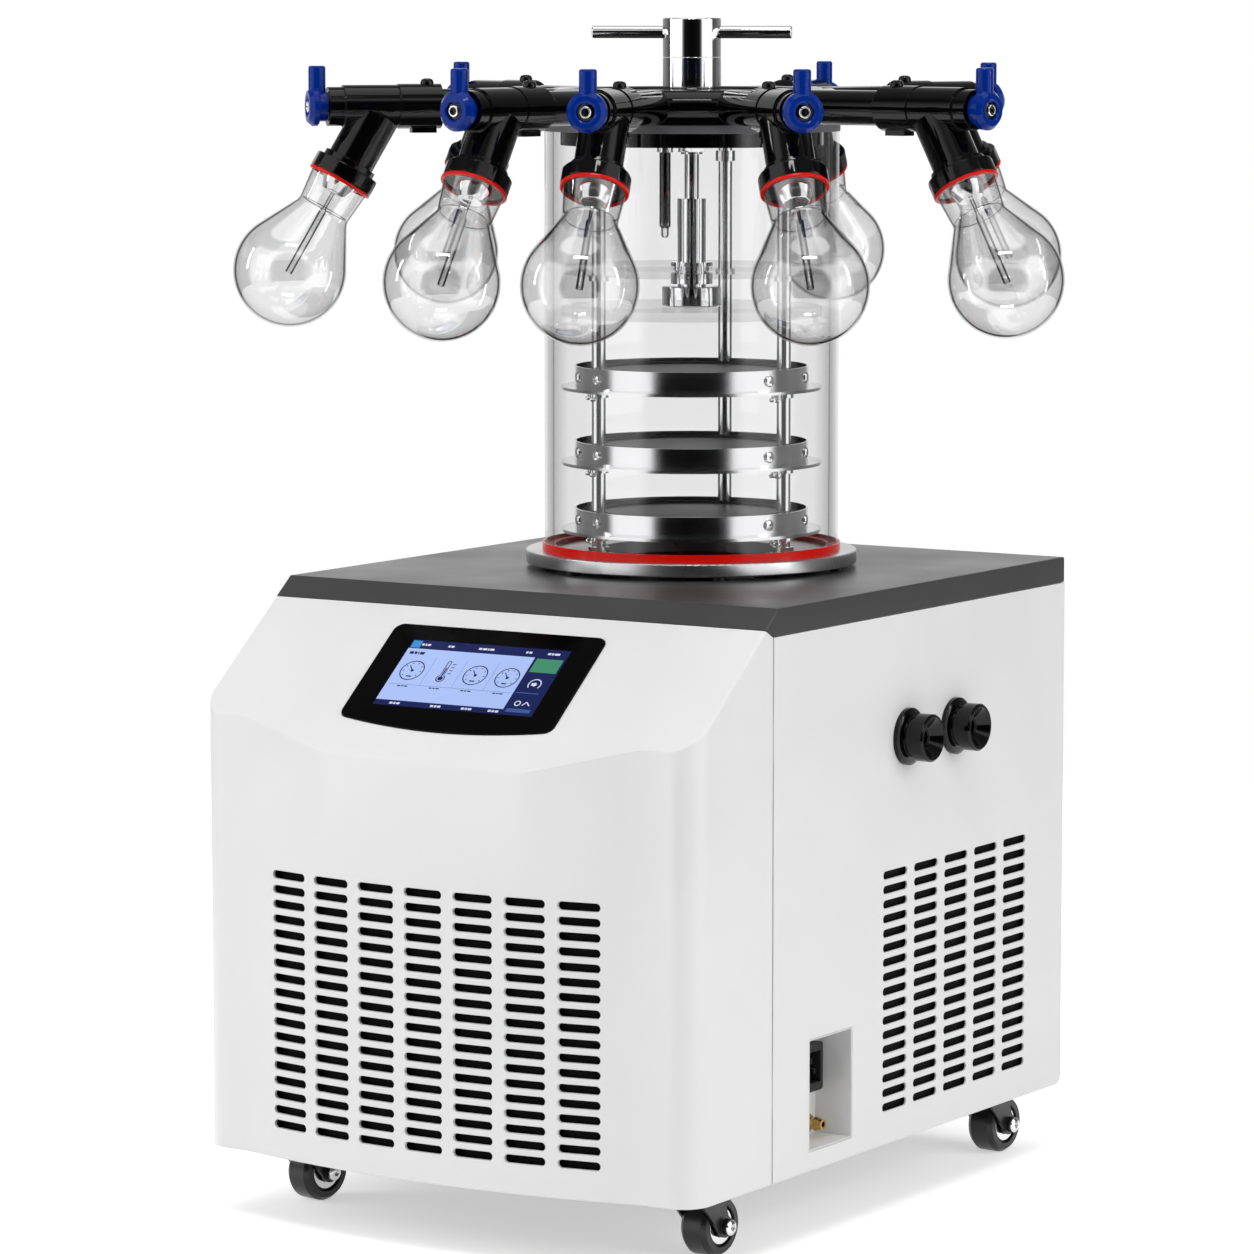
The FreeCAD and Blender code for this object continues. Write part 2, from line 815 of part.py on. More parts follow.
def to_branch(shape):
    """Move a shape turned about Z onto the branch, with Z running down the branch."""
    shape.rotate(V(0, 0, 0), Y_AXIS, 180 - BRANCH_DEG)
    shape.translate(V(BRANCH_AT, 0, ARM_Z))
    return shape


def at_ports(shape):
    return [turn(shape, bearing) for bearing in PORT_BEARINGS]


def arm_bar(radius, start, end):
    return bar(radius, V(start, 0, ARM_Z), V(end, 0, ARM_Z))


def valve_body():
    """Tee that slips over the stub, and the socket for the flask that is set into its underside."""
    tee = joined([
        arm_bar(SOCKET_R, SOCKET_START, SEAM_AT - 0.5),
        arm_bar(BODY_R - 0.6, SEAM_AT - 2, SEAM_AT + 2),
        arm_bar(BODY_R, SEAM_AT + 0.5, BODY_END),
        arm_bar(NECK_R, BODY_END - 1, NECK_END),
    ])
    tee = tee.cut(joined([
        arm_bar(STUB_R + RUN_GAP, SOCKET_START - 1, SOCKET_START + SOCKET_DEPTH),
        arm_bar(DUCT_R, SOCKET_START, BODY_END - 8),
        arm_bar(STEM_R + RUN_GAP, BODY_END - 10, NECK_END + 1),
        bar(BRANCH_BORE_R, on_branch(0), on_branch(BRANCH_LENGTH)),
    ]))
    socket = joined([
        bar(BRANCH_R, on_branch(8), on_branch(BRANCH_LENGTH)),
        bar(COLLAR_R, on_branch(BRANCH_LENGTH - NUT_LENGTH - 5), on_branch(BRANCH_LENGTH - NUT_LENGTH)),
    ])
    socket = socket.cut(joined([
        arm_bar(BODY_R, SOCKET_START, BODY_END),
        arm_bar(SOCKET_R, SOCKET_START, SEAM_AT - 0.5),
        arm_bar(NECK_R, BODY_END - 1, NECK_END),
        bar(BRANCH_BORE_R, on_branch(0), on_branch(BRANCH_LENGTH + 1)),
    ]))
    return [tee, socket]


def flask_nut():
    """Octagonal nut with its corners turned off."""
    start = BRANCH_LENGTH - NUT_LENGTH
    nut = prism(NUT_R * 1.05, 0, NUT_LENGTH, 8, 22.5)
    nut = nut.common(soften(disc(NUT_R, 0, NUT_LENGTH), 1.5, circle_of(NUT_R)))
    nut = nut.cut(disc(BRANCH_R + RUN_GAP, -1, NUT_LENGTH + 1))
    nut.translate(V(0, 0, start))
    return to_branch(nut)


SEAL_START = BRANCH_LENGTH
MOUTH_START = SEAL_START + SEAL_THICK


def flask_seal():
    seal = ring(SEAL_R, BRANCH_R, SEAL_START, MOUTH_START)
    seal = soften(seal, 1.3, circle_of(SEAL_R))
    return to_branch(seal)


def flask_profile(inset):
    """Half section of the flask, from the mouth to the bottom, drawn in by the glass."""
    lean = math.radians(FLASK_CONE_DEG)
    bulb_r = FLASK_BULB_R - inset
    shoulder = FLASK_SHOULDER_R + inset
    neck_end = MOUTH_START + FLASK_NECK
    bend_r = THROAT_R + FLASK_SHOULDER_R
    cone_start = bend_r - FLASK_SHOULDER_R * math.cos(lean)
    cone_rise = FLASK_BULB_R * math.cos(lean) - cone_start
    reach = FLASK_SHOULDER_R + FLASK_BULB_R
    centre = neck_end + reach * math.sin(lean) + cone_rise / math.tan(lean)

    def on_shoulder(angle):
        return V(bend_r - shoulder * math.cos(angle), 0, neck_end + shoulder * math.sin(angle))

    def on_bulb(angle):
        return V(bulb_r * math.cos(angle), 0, centre + bulb_r * math.sin(angle))

    top = MOUTH_START - (1 if inset else 0)
    return outline(
        V(0, 0, top),
        V(MOUTH_R - inset, 0, top),
        on_shoulder(0),
        (on_shoulder(lean / 2), on_shoulder(lean)),
        on_bulb(-lean),
        (on_bulb((math.pi / 2 - lean) / 2), on_bulb(math.pi / 2)),
    )


def flask():
    outer = flask_profile(0).revolve(V(0, 0, 0), Z_AXIS, 360)
    inner = flask_profile(GLASS).revolve(V(0, 0, 0), Z_AXIS, 360)
    return to_branch(outer.cut(inner))


def flask_tube():
    """Bung that plugs the branch and its thin glass tube, which reaches into the flask."""
    end = SEAL_START + BUNG_LENGTH
    bung = turned((
        (DIP_R, SEAL_START),
        (BUNG_R, SEAL_START),
        (BUNG_R - 2.5, end),
        (DIP_R, end),
    ))
    tube = ring(DIP_R, DIP_R - 1, end - 15, end + DIP_LENGTH)
    return [to_branch(bung), to_branch(tube)]


def valve_handle():
    """Knob with a round lever that points up behind its rim, and the stem in the valve body."""
    start = NECK_END + 1
    end = start + KNOB_THICK
    rim = end - KNOB_RIM
    knob = turned((
        (0, BODY_END - 6),
        (STEM_R, BODY_END - 6),
        (STEM_R, start),
        (KNOB_WAIST_R, start),
        (KNOB_WAIST_R, rim - 1),
        (KNOB_R - 1, rim - 1),
        (KNOB_R, rim),
        (KNOB_R, end - 4),
        (KNOB_R - 3.5, end),
        (9, end),
        (7.5, end - 1),
        (7.5, end - 3),
        (0, end - 3),
    ))
    knob.rotate(V(0, 0, 0), Y_AXIS, 90)
    knob.translate(V(0, 0, ARM_Z))
    tip = ARM_Z + LEVER_REACH
    lever = disc(LEVER_R, ARM_Z + 6, tip, start + LEVER_R + 0.5, 0)
    lever = soften(lever, 2.0, circle_of(LEVER_R, tip))
    return joined([knob, lever])


# ---- drying rack ----
def rod_places():
    return [polar(ROD_CIRCLE, bearing) for bearing in ROD_BEARINGS]


ROD_TOP = HUB_LOW - PLUG_DEPTH - ROD_TOP_GAP


def rack_rods():
    """Three rods, each with a foot, a collar under every plate it carries and a nut on top."""
    carried = shelf_levels() + [GUIDE_LOW]
    rods = []
    for place in rod_places():
        x = place.x
        y = place.y
        parts = [
            disc(ROD_R + 3, FLANGE_TOP, FLANGE_TOP + 5, x, y),
            disc(ROD_R, FLANGE_TOP, ROD_TOP - 6, x, y),
            disc(ROD_R + 2.5, ROD_TOP - 12, ROD_TOP - 3, x, y),
            disc(ROD_R, ROD_TOP - 4, ROD_TOP, x, y),
        ]
        for z in carried:
            parts.append(disc(ROD_R + 2.5, z - 5, z, x, y))
        rods.append(joined(parts))
    return group(rods)


def rod_holes(z0, z1, gap):
    return group([disc(ROD_R + gap, z0, z1, p.x, p.y) for p in rod_places()])


def shelf_levels():
    return [FLANGE_TOP + level * BELL_HEIGHT for level in SHELF_LEVELS]


def shelf_plates():
    plates = []
    for z in shelf_levels():
        plate = disc(SHELF_R, z, z + SHELF_THICK)
        plates.append(plate.cut(rod_holes(z - 1, z + SHELF_THICK + 1, RUN_GAP)))
    return group(plates)


def shelf_rings():
    hoops = []
    for z in shelf_levels():
        low = z + SHELF_THICK
        hoops.append(ring(HOOP_R, HOOP_R - HOOP_WALL, low, low + HOOP_HEIGHT))
    return group(hoops)


def sample_trays():
    """Shallow dish on a skirt that lifts it to just under the top of the hoop."""
    trays = []
    for z in shelf_levels():
        low = z + SHELF_THICK
        top = low + HOOP_HEIGHT - TRAY_DROP
        bed = top - TRAY_DISH
        pan = disc(TRAY_R, low, top)
        pan = pan.cut(disc(TRAY_R - TRAY_WALL, low - 1, bed - TRAY_WALL))
        trays.append(pan.cut(disc(TRAY_R - TRAY_WALL, bed, top + 1)))
    return group(trays)


# ---- stoppering press ----
PLUG_LOW = HUB_LOW - PLUG_DEPTH
HEAD_LOW = HUB_TOP + POST_HEIGHT + AXIAL_GAP
HEAD_TOP = HEAD_LOW + HEAD_HEIGHT
GUIDE_LOW = BELL_LOW + GUIDE_LEVEL * BELL_HEIGHT
PLATE_LOW = GUIDE_LOW - PRESS_DROP
PUCK_LOW = PLATE_LOW + PRESS_PLATE_THICK
PUCK_TOP = PUCK_LOW + PUCK_THICK
SLEEVE_END = PUCK_TOP + SLEEVE_LENGTH
SPINDLE_BORE = SPINDLE_R + RUN_GAP


def press_post():
    """Post on the lid with its stem through the hub, and the lock nut under the lid."""
    stem_r = SPINDLE_R + 3
    post = joined([disc(POST_R, HUB_TOP, HUB_TOP + POST_HEIGHT), disc(stem_r, PLUG_LOW - 8, HUB_TOP + 1)])
    bore = disc(SPINDLE_BORE, PLUG_LOW - 20, HEAD_TOP)
    nut = prism(COLLAR_NUT_R, PLUG_LOW - 6, PLUG_LOW)
    nut = nut.cut(disc(stem_r + RUN_GAP, PLUG_LOW - 10, PLUG_LOW + 1))
    return group([post.cut(bore), nut])


def press_head():
    head = disc(POST_R, HEAD_LOW, HEAD_TOP)
    head = soften(head, 1.2, circle_of(POST_R, HEAD_TOP))
    socket = disc(SPINDLE_R, HEAD_LOW - 1, HEAD_LOW + 12)
    return head.cut(socket).cut(press_bar())


def press_bar():
    z = HEAD_TOP - BAR_DROP
    reach = polar(BAR_LENGTH / 2, BAR_BEARING)
    handle = bar(BAR_R, V(-reach.x, -reach.y, z), V(reach.x, reach.y, z))
    return soften(handle, 1.5, circle_of(BAR_R))


def press_spindle():
    return disc(SPINDLE_R, SLEEVE_END - SPINDLE_OVERLAP, HEAD_LOW + 12)


def press_sleeve():
    sleeve = disc(SLEEVE_R, PUCK_TOP, SLEEVE_END)
    return sleeve.cut(disc(SPINDLE_BORE, PUCK_TOP + 4, SLEEVE_END + 1))


def press_puck():
    puck = disc(PUCK_R, PUCK_LOW, PUCK_TOP)
    return soften(puck, 1.0, circle_of(PUCK_R))


def press_plate():
    plate = disc(PRESS_PLATE_R, PLATE_LOW, PUCK_LOW)
    return plate.cut(rod_holes(PLATE_LOW - 1, PUCK_LOW + 1, SLIDE_GAP))


def guide_plate():
    top = GUIDE_LOW + GUIDE_THICK
    plate = ring(PRESS_PLATE_R, BUSH_BODY_R, GUIDE_LOW, top)
    return plate.cut(rod_holes(GUIDE_LOW - 1, top + 1, RUN_GAP))


def guide_bush():
    low = GUIDE_LOW
    high = GUIDE_LOW + GUIDE_THICK
    bore = SLEEVE_R + RUN_GAP
    return turned((
        (bore, low - BUSH_EDGE),
        (BUSH_R, low - BUSH_EDGE),
        (BUSH_R, low),
        (BUSH_BODY_R, low),
        (BUSH_BODY_R, high),
        (BUSH_R, high),
        (BUSH_R, high + 3.5),
        (bore, high + 3.5),
    ))


def sensor_probe():
    """Probe that hangs from the lid, with a thin tip."""
    place = polar(*PROBE_AT)
    top = HUB_LOW - PLUG_DEPTH
    low = top - PROBE_LENGTH
    body = disc(PROBE_R, low, top, place.x, place.y)
    nut = disc(PROBE_R + 2.2, top - 7, top, place.x, place.y)
    tip = disc(PROBE_TIP_R, low - PROBE_TIP, low + 1, place.x, place.y)
    return joined([body, nut, tip])


# ---- cooling, inside the cabinet ----
FLOOR_Z = CAB_BOTTOM + SHEET + CAP_WALL
TRAP_LOW = FLOOR_Z + COMPRESSOR_HEIGHT + TRAP_OVER_COMPRESSOR


def cold_trap():
    """Deep steel cup under the chamber, hung by its rim from the flange."""
    outer = TRAP_R + TRAP_WALL
    rim_low = FLANGE_LOW - 2
    return turned((
        (0, TRAP_LOW),
        (outer, TRAP_LOW),
        (outer, rim_low),
        (outer + 10, rim_low),
        (outer + 10, FLANGE_LOW),
        (TRAP_R, FLANGE_LOW),
        (TRAP_R, TRAP_LOW + TRAP_WALL),
        (0, TRAP_LOW + TRAP_WALL),
    ))


def trap_coil():
    """Refrigerant tube wound round the trap."""
    radius = TRAP_R + TRAP_WALL + COIL_R + FIT_GAP
    height = COIL_PITCH * COIL_TURNS
    helix = Part.makeHelix(COIL_PITCH, height, radius)
    section = Part.Wire(Part.makeCircle(COIL_R, V(radius, 0, 0), Y_AXIS))
    coil = Part.Wire(helix).makePipeShell([section], True, True)
    coil.translate(V(0, 0, TRAP_LOW + 12))
    return coil


def compressor():
    """Sealed can on three feet, with its two pipe stubs."""
    cx, cy = COMPRESSOR_AT
    low = FLOOR_Z + 12
    top = FLOOR_Z + COMPRESSOR_HEIGHT
    waist = (low + top) / 2
    can = disc(COMPRESSOR_R, low, top, cx, cy)
    can = soften(can, 22, circle_of(COMPRESSOR_R))
    band = disc(COMPRESSOR_R + 3, waist - 3, waist + 3, cx, cy)
    parts = [can, band]
    for k in range(3):
        place = polar(COMPRESSOR_R - 6, 120.0 * k + 30)
        parts.append(disc(12, FLOOR_Z, low + 24, cx + place.x, cy + place.y))
    for side in (-1, 1):
        parts.append(disc(5, top - 25, top + 14, cx + side * 20, cy))
    return joined(parts)


def condenser():
    """Finned heat exchanger: end plates, level tubes and upright fins."""
    half = CONDENSER_WIDTH / 2
    y0 = CONDENSER_Y
    y1 = y0 + CONDENSER_DEPTH
    top = FLOOR_Z + CONDENSER_HEIGHT
    parts = [
        box(-half, -half + 2, y0, y1, FLOOR_Z, top),
        box(half - 2, half, y0, y1, FLOOR_Z, top),
    ]
    middle = (y0 + y1) / 2
    for k in range(6):
        z = FLOOR_Z + 20 + k * (CONDENSER_HEIGHT - 40) / 5
        parts.append(bar(5, V(-half - 8, middle, z), V(half + 8, middle, z)))
    spacing = CONDENSER_WIDTH / (FIN_COUNT + 1)
    for k in range(FIN_COUNT):
        x = -half + (k + 1) * spacing
        parts.append(box(x, x + FIN_THICK, y0, y1, FLOOR_Z + 4, top - 4))
    return joined(parts)


FAN_Z = FLOOR_Z + CONDENSER_HEIGHT / 2
SHROUD_Y = CONDENSER_Y + CONDENSER_DEPTH
ROTOR_Y = SHROUD_Y + 9
MOTOR_Y = SHROUD_Y + 34


def fan_shroud():
    """Plate with a round duct, three arms and the motor with its shaft."""
    duct = FAN_R + FAN_TIP_GAP
    half = CONDENSER_WIDTH / 2
    top = FLOOR_Z + CONDENSER_HEIGHT
    plate = box(-half, half, SHROUD_Y, SHROUD_Y + 2, FLOOR_Z, top)
    centre = V(0, SHROUD_Y, FAN_Z)
    tube = bar(duct + 2, centre, centre + Y_AXIS * (MOTOR_Y - SHROUD_Y + 4))
    hole = bar(duct, centre - Y_AXIS, centre + Y_AXIS * (MOTOR_Y - SHROUD_Y + 5))
    shell = plate.fuse(tube).cut(hole)
    motor_start = V(0, MOTOR_Y, FAN_Z)
    parts = [shell, bar(FAN_HUB_R, motor_start, motor_start + Y_AXIS * 26)]
    for k in range(3):
        arm = box(FAN_HUB_R - 3, duct + 1, 0, 4, -5, 5)
        arm.rotate(V(0, 0, 0), Y_AXIS, 120.0 * k + 30)
        arm.translate(motor_start)
        parts.append(arm)
    parts.append(bar(FAN_SHAFT_R, V(0, ROTOR_Y - 1, FAN_Z), motor_start + Y_AXIS))
    return joined(parts)


def fan_rotor():
    start = V(0, ROTOR_Y, FAN_Z)
    length = MOTOR_Y - ROTOR_Y - 6
    hub = bar(FAN_HUB_R, start, start + Y_AXIS * length)
    parts = [hub]
    for k in range(FAN_BLADES):
        blade = box(FAN_HUB_R - 4, FAN_R, -0.8, 0.8, -16, 16)
        blade.rotate(V(0, 0, 0), X_AXIS, 62)
        blade.rotate(V(0, 0, 0), Y_AXIS, 360.0 * k / FAN_BLADES)
        blade.translate(start + Y_AXIS * (length / 2))
        parts.append(blade)
    rotor = joined(parts)
    return rotor.cut(bar(FAN_SHAFT_R + RUN_GAP, start - Y_AXIS * 2, start + Y_AXIS * (length + 2)))


def control_board():
    """Circuit board on four posts at the left panel, with its larger parts."""
    wall = -HALF + SHEET
    face = wall + 12
    y0 = SEAM_Y + 30
    z0 = CAB_BOTTOM + 90
    parts = [box(face, face + 1.6, y0, y0 + 130, z0, z0 + 150)]
    for y in (y0 + 8, y0 + 122):
        for z in (z0 + 8, z0 + 142):
            parts.append(bar(3.5, V(wall, y, z), V(face + 1, y, z)))
    parts.append(box(face + 1, face + 30, y0 + 15, y0 + 60, z0 + 20, z0 + 65))
    parts.append(box(face + 1, face + 18, y0 + 75, y0 + 110, z0 + 25, z0 + 60))
    parts.append(box(face + 1, face + 14, y0 + 20, y0 + 105, z0 + 100, z0 + 125))
    return joined(parts)


# ---- casters ----
FORK_INNER = WHEEL_WIDTH / 2 + 1
CROWN_LOW = WHEEL_R * 2 + 1.5
CROWN_TOP = CROWN_LOW + CROWN_THICK
CASTER_TOP = CAB_BOTTOM + SHEET


def caster_places():
    """Swivel axis of each caster and how far it is turned."""
    x = HALF - CASTER_INSET_X
    front = STRIP_Y + CASTER_INSET_FRONT
    back = CAB_BACK - CASTER_INSET_BACK
    spots = ((-x, front), (x, front), (x, back), (-x, back))
    return [(sx, sy, t) for (sx, sy), t in zip(spots, CASTER_TURNS)]


def set_caster(shape, place):
    x, y, degrees = place
    moved = turn(shape, degrees)
    moved.translate(V(x, y, 0))
    return moved


def caster_plate():
    plate_low = CASTER_TOP - CASTER_PLATE
    pad = box(-CASTER_PAD, CASTER_PAD, -CASTER_PAD, CASTER_PAD, plate_low, CASTER_TOP)
    race = disc(12, CROWN_TOP + AXIAL_GAP, plate_low)
    pin = disc(AXLE_R, CROWN_LOW - 2, plate_low)
    head = disc(7, CROWN_LOW - 2, CROWN_LOW - AXIAL_GAP)
    return joined([pad, race, pin, head])


def caster_fork():
    """Crown and two cheeks, with the axle bolt as a second solid."""
    crown = disc(17, CROWN_LOW, CROWN_TOP)
    outer = FORK_INNER + FORK_PLATE
    parts = [crown, box(-outer, outer, -12, 14, CROWN_LOW, CROWN_TOP)]
    for x in (-outer, FORK_INNER):
        cheek = outline(
            V(x, -12, CROWN_TOP),
            V(x, -12, CROWN_LOW - 6),
            V(x, TRAIL - 8.4, WHEEL_R - 3),
            V(x, TRAIL + 8.4, WHEEL_R - 3),
            V(x, 14, CROWN_TOP),
        )
        parts.append(cheek.extrude(X_AXIS * FORK_PLATE))
        centre = V(x, TRAIL, WHEEL_R)
        parts.append(bar(9, centre, centre + X_AXIS * FORK_PLATE))
    fork = joined(parts)
    axis = V(0, TRAIL, WHEEL_R)
    fork = fork.cut(group([
        bar(AXLE_R + RUN_GAP, axis - X_AXIS * 30, axis + X_AXIS * 30),
        disc(AXLE_R + RUN_GAP, CROWN_LOW - 1, CROWN_TOP + 1),
    ]))
    bolt = joined([
        bar(AXLE_R, axis - X_AXIS * outer, axis + X_AXIS * outer),
        bar(6.5, axis - X_AXIS * (outer + 4), axis - X_AXIS * outer),
        bar(6.5, axis + X_AXIS * outer, axis + X_AXIS * (outer + 4)),
    ])
    return group([fork, bolt])


def caster_wheel():
    half = WHEEL_WIDTH / 2
    bore = AXLE_R + RUN_GAP
    wheel = turned((
        (bore, -half),
        (8, -half),
        (8, -half + 3),
        (16, -half + 3),
        (17, -half),
        (WHEEL_R - 3, -half),
        (WHEEL_R, -half + 4),
        (WHEEL_R, half - 4),
        (WHEEL_R - 3, half),
        (17, half),
        (16, half - 3),
        (8, half - 3),
        (8, half),
        (bore, half),
    ))
    wheel.rotate(V(0, 0, 0), Y_AXIS, 90)
    wheel.translate(V(0, TRAIL, WHEEL_R))
    return wheel


# ---- write every piece ----
os.makedirs("parts", exist_ok=True)


def build():
    save("front_cover", front_cover())
    save("touch_panel", touch_panel())
    save("right_panel", right_panel())
    save("left_panel", left_panel())
    save("rear_panel", rear_panel())
    save("base_pan", base_pan())
    save("top_cover", top_cover())
    save("service_recess", service_recess())
    save("mains_inlet", mains_inlet())
    save("drain_fitting", drain_fitting())
    save("vacuum_ports", group([vacuum_port(y) for y in PORT_Y]))
    save("chamber_flange", chamber_flange())
    save("flange_feet", flange_feet())
    save("chamber_gasket", chamber_gasket())
    save("bell_cylinder", bell_cylinder())
    save("lid_gasket", lid_gasket())
    save("manifold_hub", manifold_hub())
    save("valve_bodies", group([s for part in valve_body() for s in at_ports(part)]))
    save("flask_nuts", group(at_ports(flask_nut())))
    save("flask_seals", group(at_ports(flask_seal())))
    save("flasks", group(at_ports(flask())))
    save("flask_tubes", group([s for part in flask_tube() for s in at_ports(part)]))
    for number, handle in enumerate(at_ports(valve_handle()), 1):
        save("valve_handle_" + str(number), handle)
    save("rack_rods", rack_rods())
    save("shelf_plates", shelf_plates())
    save("shelf_rings", shelf_rings())
    save("sample_trays", sample_trays())
    save("guide_plate", guide_plate())
    save("guide_bush", guide_bush())
    save("sensor_probe", sensor_probe())
    save("press_post", press_post())
    save("press_head", press_head())
    save("press_bar", press_bar())
    save("press_spindle", press_spindle())
    save("press_sleeve", press_sleeve())
    save("press_puck", press_puck())
    save("press_plate", press_plate())
    save("cold_trap", cold_trap())
    save("trap_coil", trap_coil())
    save("compressor", compressor())
    save("condenser", condenser())
    save("fan_shroud", fan_shroud())
    save("fan_rotor", fan_rotor())
    save("control_board", control_board())
    places = caster_places()
    plate = caster_plate()
    fork = caster_fork()
    wheel = caster_wheel()
    save("caster_plates", group([set_caster(plate, place) for place in places]))
    for number, place in enumerate(places, 1):
        save("caster_fork_" + str(number), set_caster(fork, place))
        save("caster_wheel_" + str(number), set_caster(wheel, place))


build()
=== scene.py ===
import bpy
import json
import math
from mathutils import Matrix, Vector


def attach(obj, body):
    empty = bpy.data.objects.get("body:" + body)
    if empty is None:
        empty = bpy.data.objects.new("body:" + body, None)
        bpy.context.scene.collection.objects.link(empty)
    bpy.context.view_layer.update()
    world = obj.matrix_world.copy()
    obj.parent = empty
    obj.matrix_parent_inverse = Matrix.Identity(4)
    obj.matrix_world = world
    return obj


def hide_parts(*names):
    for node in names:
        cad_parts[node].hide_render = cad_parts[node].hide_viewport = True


# Looks for the freeze dryer. Metres, in the row frame: Z up, -Y the front, +X the right side.

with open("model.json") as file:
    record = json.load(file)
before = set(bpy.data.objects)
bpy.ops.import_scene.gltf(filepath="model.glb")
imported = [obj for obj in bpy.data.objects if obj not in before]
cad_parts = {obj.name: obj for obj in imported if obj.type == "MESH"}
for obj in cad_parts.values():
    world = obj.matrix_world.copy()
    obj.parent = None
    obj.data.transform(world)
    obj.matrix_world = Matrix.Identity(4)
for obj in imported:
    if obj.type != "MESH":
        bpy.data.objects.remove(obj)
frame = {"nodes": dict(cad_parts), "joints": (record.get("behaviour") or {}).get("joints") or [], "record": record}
nodes = frame["nodes"]
joints = {j["name"]: j for j in frame["joints"]}
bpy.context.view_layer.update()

# ---- sizes shared with the part ----
AXIS_Y = 0.009
CAB_TOP = 0.523
HALF = 0.240
CAP_TOP_Y = -0.2547 + AXIS_Y
SLOPE = math.radians(38.2)
FRONT_Y, FRONT_BULGE_R = -0.408, 0.792
BELL_R, BELL_WALL = 0.1256, 0.0075
BELL_LOW, BELL_TOP = 0.5414, 0.894
FLANGE_TOP = 0.5374
SHELF_Z = (0.5528, 0.6104, 0.6744)
SHELF_THICK = 0.0025
HOOP_R, HOOP_HEIGHT = 0.100, 0.0175
ROD_R, ROD_CIRCLE, ROD_TOP = 0.006, 0.088, 0.878
ROD_BEARINGS = (-121.5, 4.5, 102.5)
GUIDE_LOW = 0.7731
PROBE_TOP, PROBE_LOW, PROBE_TIP = 0.882, 0.812, 0.802
PROBE_R, PROBE_CIRCLE, PROBE_BEARING = 0.0048, 0.035, 162.5

# Arms of the manifold: their height, their bearings, and how far out each thing stands.
ARM_Z = 0.9157
PORT_BEARINGS = (-134.5, -93.5, -73.0, -42.5, -11.0, 67.5, 100.0, 161.5)
CLAMP_X = 0.229
KNOB_FACE = 0.331
BRANCH_X = 0.268
BRANCH_TILT = math.radians(150)

# Along a branch from the arm's axis: the ring, the mouth, and where the neck turns into the cone.
SEAL_AT, MOUTH_AT, BEND_AT = 0.0705, 0.0740, 0.0982
SEAL_BORE = 0.0252
MOUTH_R, THROAT_R, BULB_R, BEND_R, GLASS = 0.0254, 0.0228, 0.0475, 0.010, 0.002
CONE = math.radians(29.0)

# Bearings of the screws through the hoops and of the pairs under the shelf plates, and the way
# across the machine in which the two studs under the lowest plate stand apart.
HOOP_SCREWS = (-132.5, -111.0, -17.6, 17.5, 91.0, 114.0)
PLATE_SCREWS = (-118.0, -12.0, 98.0)
ACROSS = (0.843, 0.537)

# From a wheel's middle to the axle's caps, and from the top cover to the glass of the display.
AXLE_END = 0.0198
GLASS_PROUD = 0.0012

# The camera, and the level direction from the machine to it.
CAMERA_AT = (2.4431, -3.9424 + AXIS_Y, 1.0010)
CAMERA_TURN, CAMERA_RISE = math.radians(32.467), math.radians(6.5435)
LENS = 155.94
TO_CAMERA = (0.537, -0.844, 0.0)

CRISP_ANGLE = math.radians(28)
FLOOR_R = 2.4
FLOOR_LIFT = 0.50
STUDIO_STRENGTH = 1.45


# ---- materials ----
def make_node(tree, kind, **values):
    """Add a node; each value is one of its properties or, failing that, an input's value."""
    node = tree.nodes.new(kind)
    for key, value in values.items():
        if hasattr(node, key):
            setattr(node, key, value)
        else:
            node.inputs[key.replace("_", " ")].default_value = value
    return node


def noise_pair(tree, grain, stretch):
    """Fine and broad noise in the object's own space."""
    link = tree.links.new
    place = make_node(tree, "ShaderNodeTexCoord")
    scaled = make_node(tree, "ShaderNodeMapping")
    scaled.inputs["Scale"].default_value = stretch
    link(place.outputs["Object"], scaled.inputs["Vector"])
    fine = make_node(tree, "ShaderNodeTexNoise", Scale=grain, Detail=3.0)
    broad = make_node(tree, "ShaderNodeTexNoise", Scale=9.0, Detail=2.0)
    link(scaled.outputs[0], fine.inputs["Vector"])
    link(scaled.outputs[0], broad.inputs["Vector"])
    return fine.outputs["Fac"], broad.outputs["Fac"]


def spread_of(tree, source, low, high):
    """Map noise onto a range of values."""
    node = make_node(tree, "ShaderNodeMapRange")
    node.inputs["From Min"].default_value = 0.3
    node.inputs["From Max"].default_value = 0.7
    node.inputs["To Min"].default_value = low
    node.inputs["To Max"].default_value = high
    tree.links.new(source, node.inputs["Value"])
    return node.outputs[0]


def tinted(tree, colour, amount):
    """The colour times a grey amount."""
    node = make_node(tree, "ShaderNodeMix", data_type="RGBA", blend_type="MULTIPLY")
    node.inputs[0].default_value = 1.0
    node.inputs[6].default_value = (*colour, 1)
    tree.links.new(amount, node.inputs[7])
    return node.outputs[2]


def relief(tree, source, strength, round_edge=0.0):
    """Bump from noise, over edges that look slightly rounded."""
    node = make_node(tree, "ShaderNodeBump")
    node.inputs["Strength"].default_value = strength
    node.inputs["Distance"].default_value = 0.001
    tree.links.new(source, node.inputs["Height"])
    if round_edge:
        edge = make_node(tree, "ShaderNodeBevel", samples=4)
        edge.inputs["Radius"].default_value = round_edge
        tree.links.new(edge.outputs[0], node.inputs["Normal"])
    return node.outputs[0]


def blank(name):
    """New material, its tree and its output node."""
    mat = bpy.data.materials.new(name)
    mat.use_nodes = True
    mat.node_tree.nodes.clear()
    return mat, mat.node_tree, make_node(mat.node_tree, "ShaderNodeOutputMaterial")


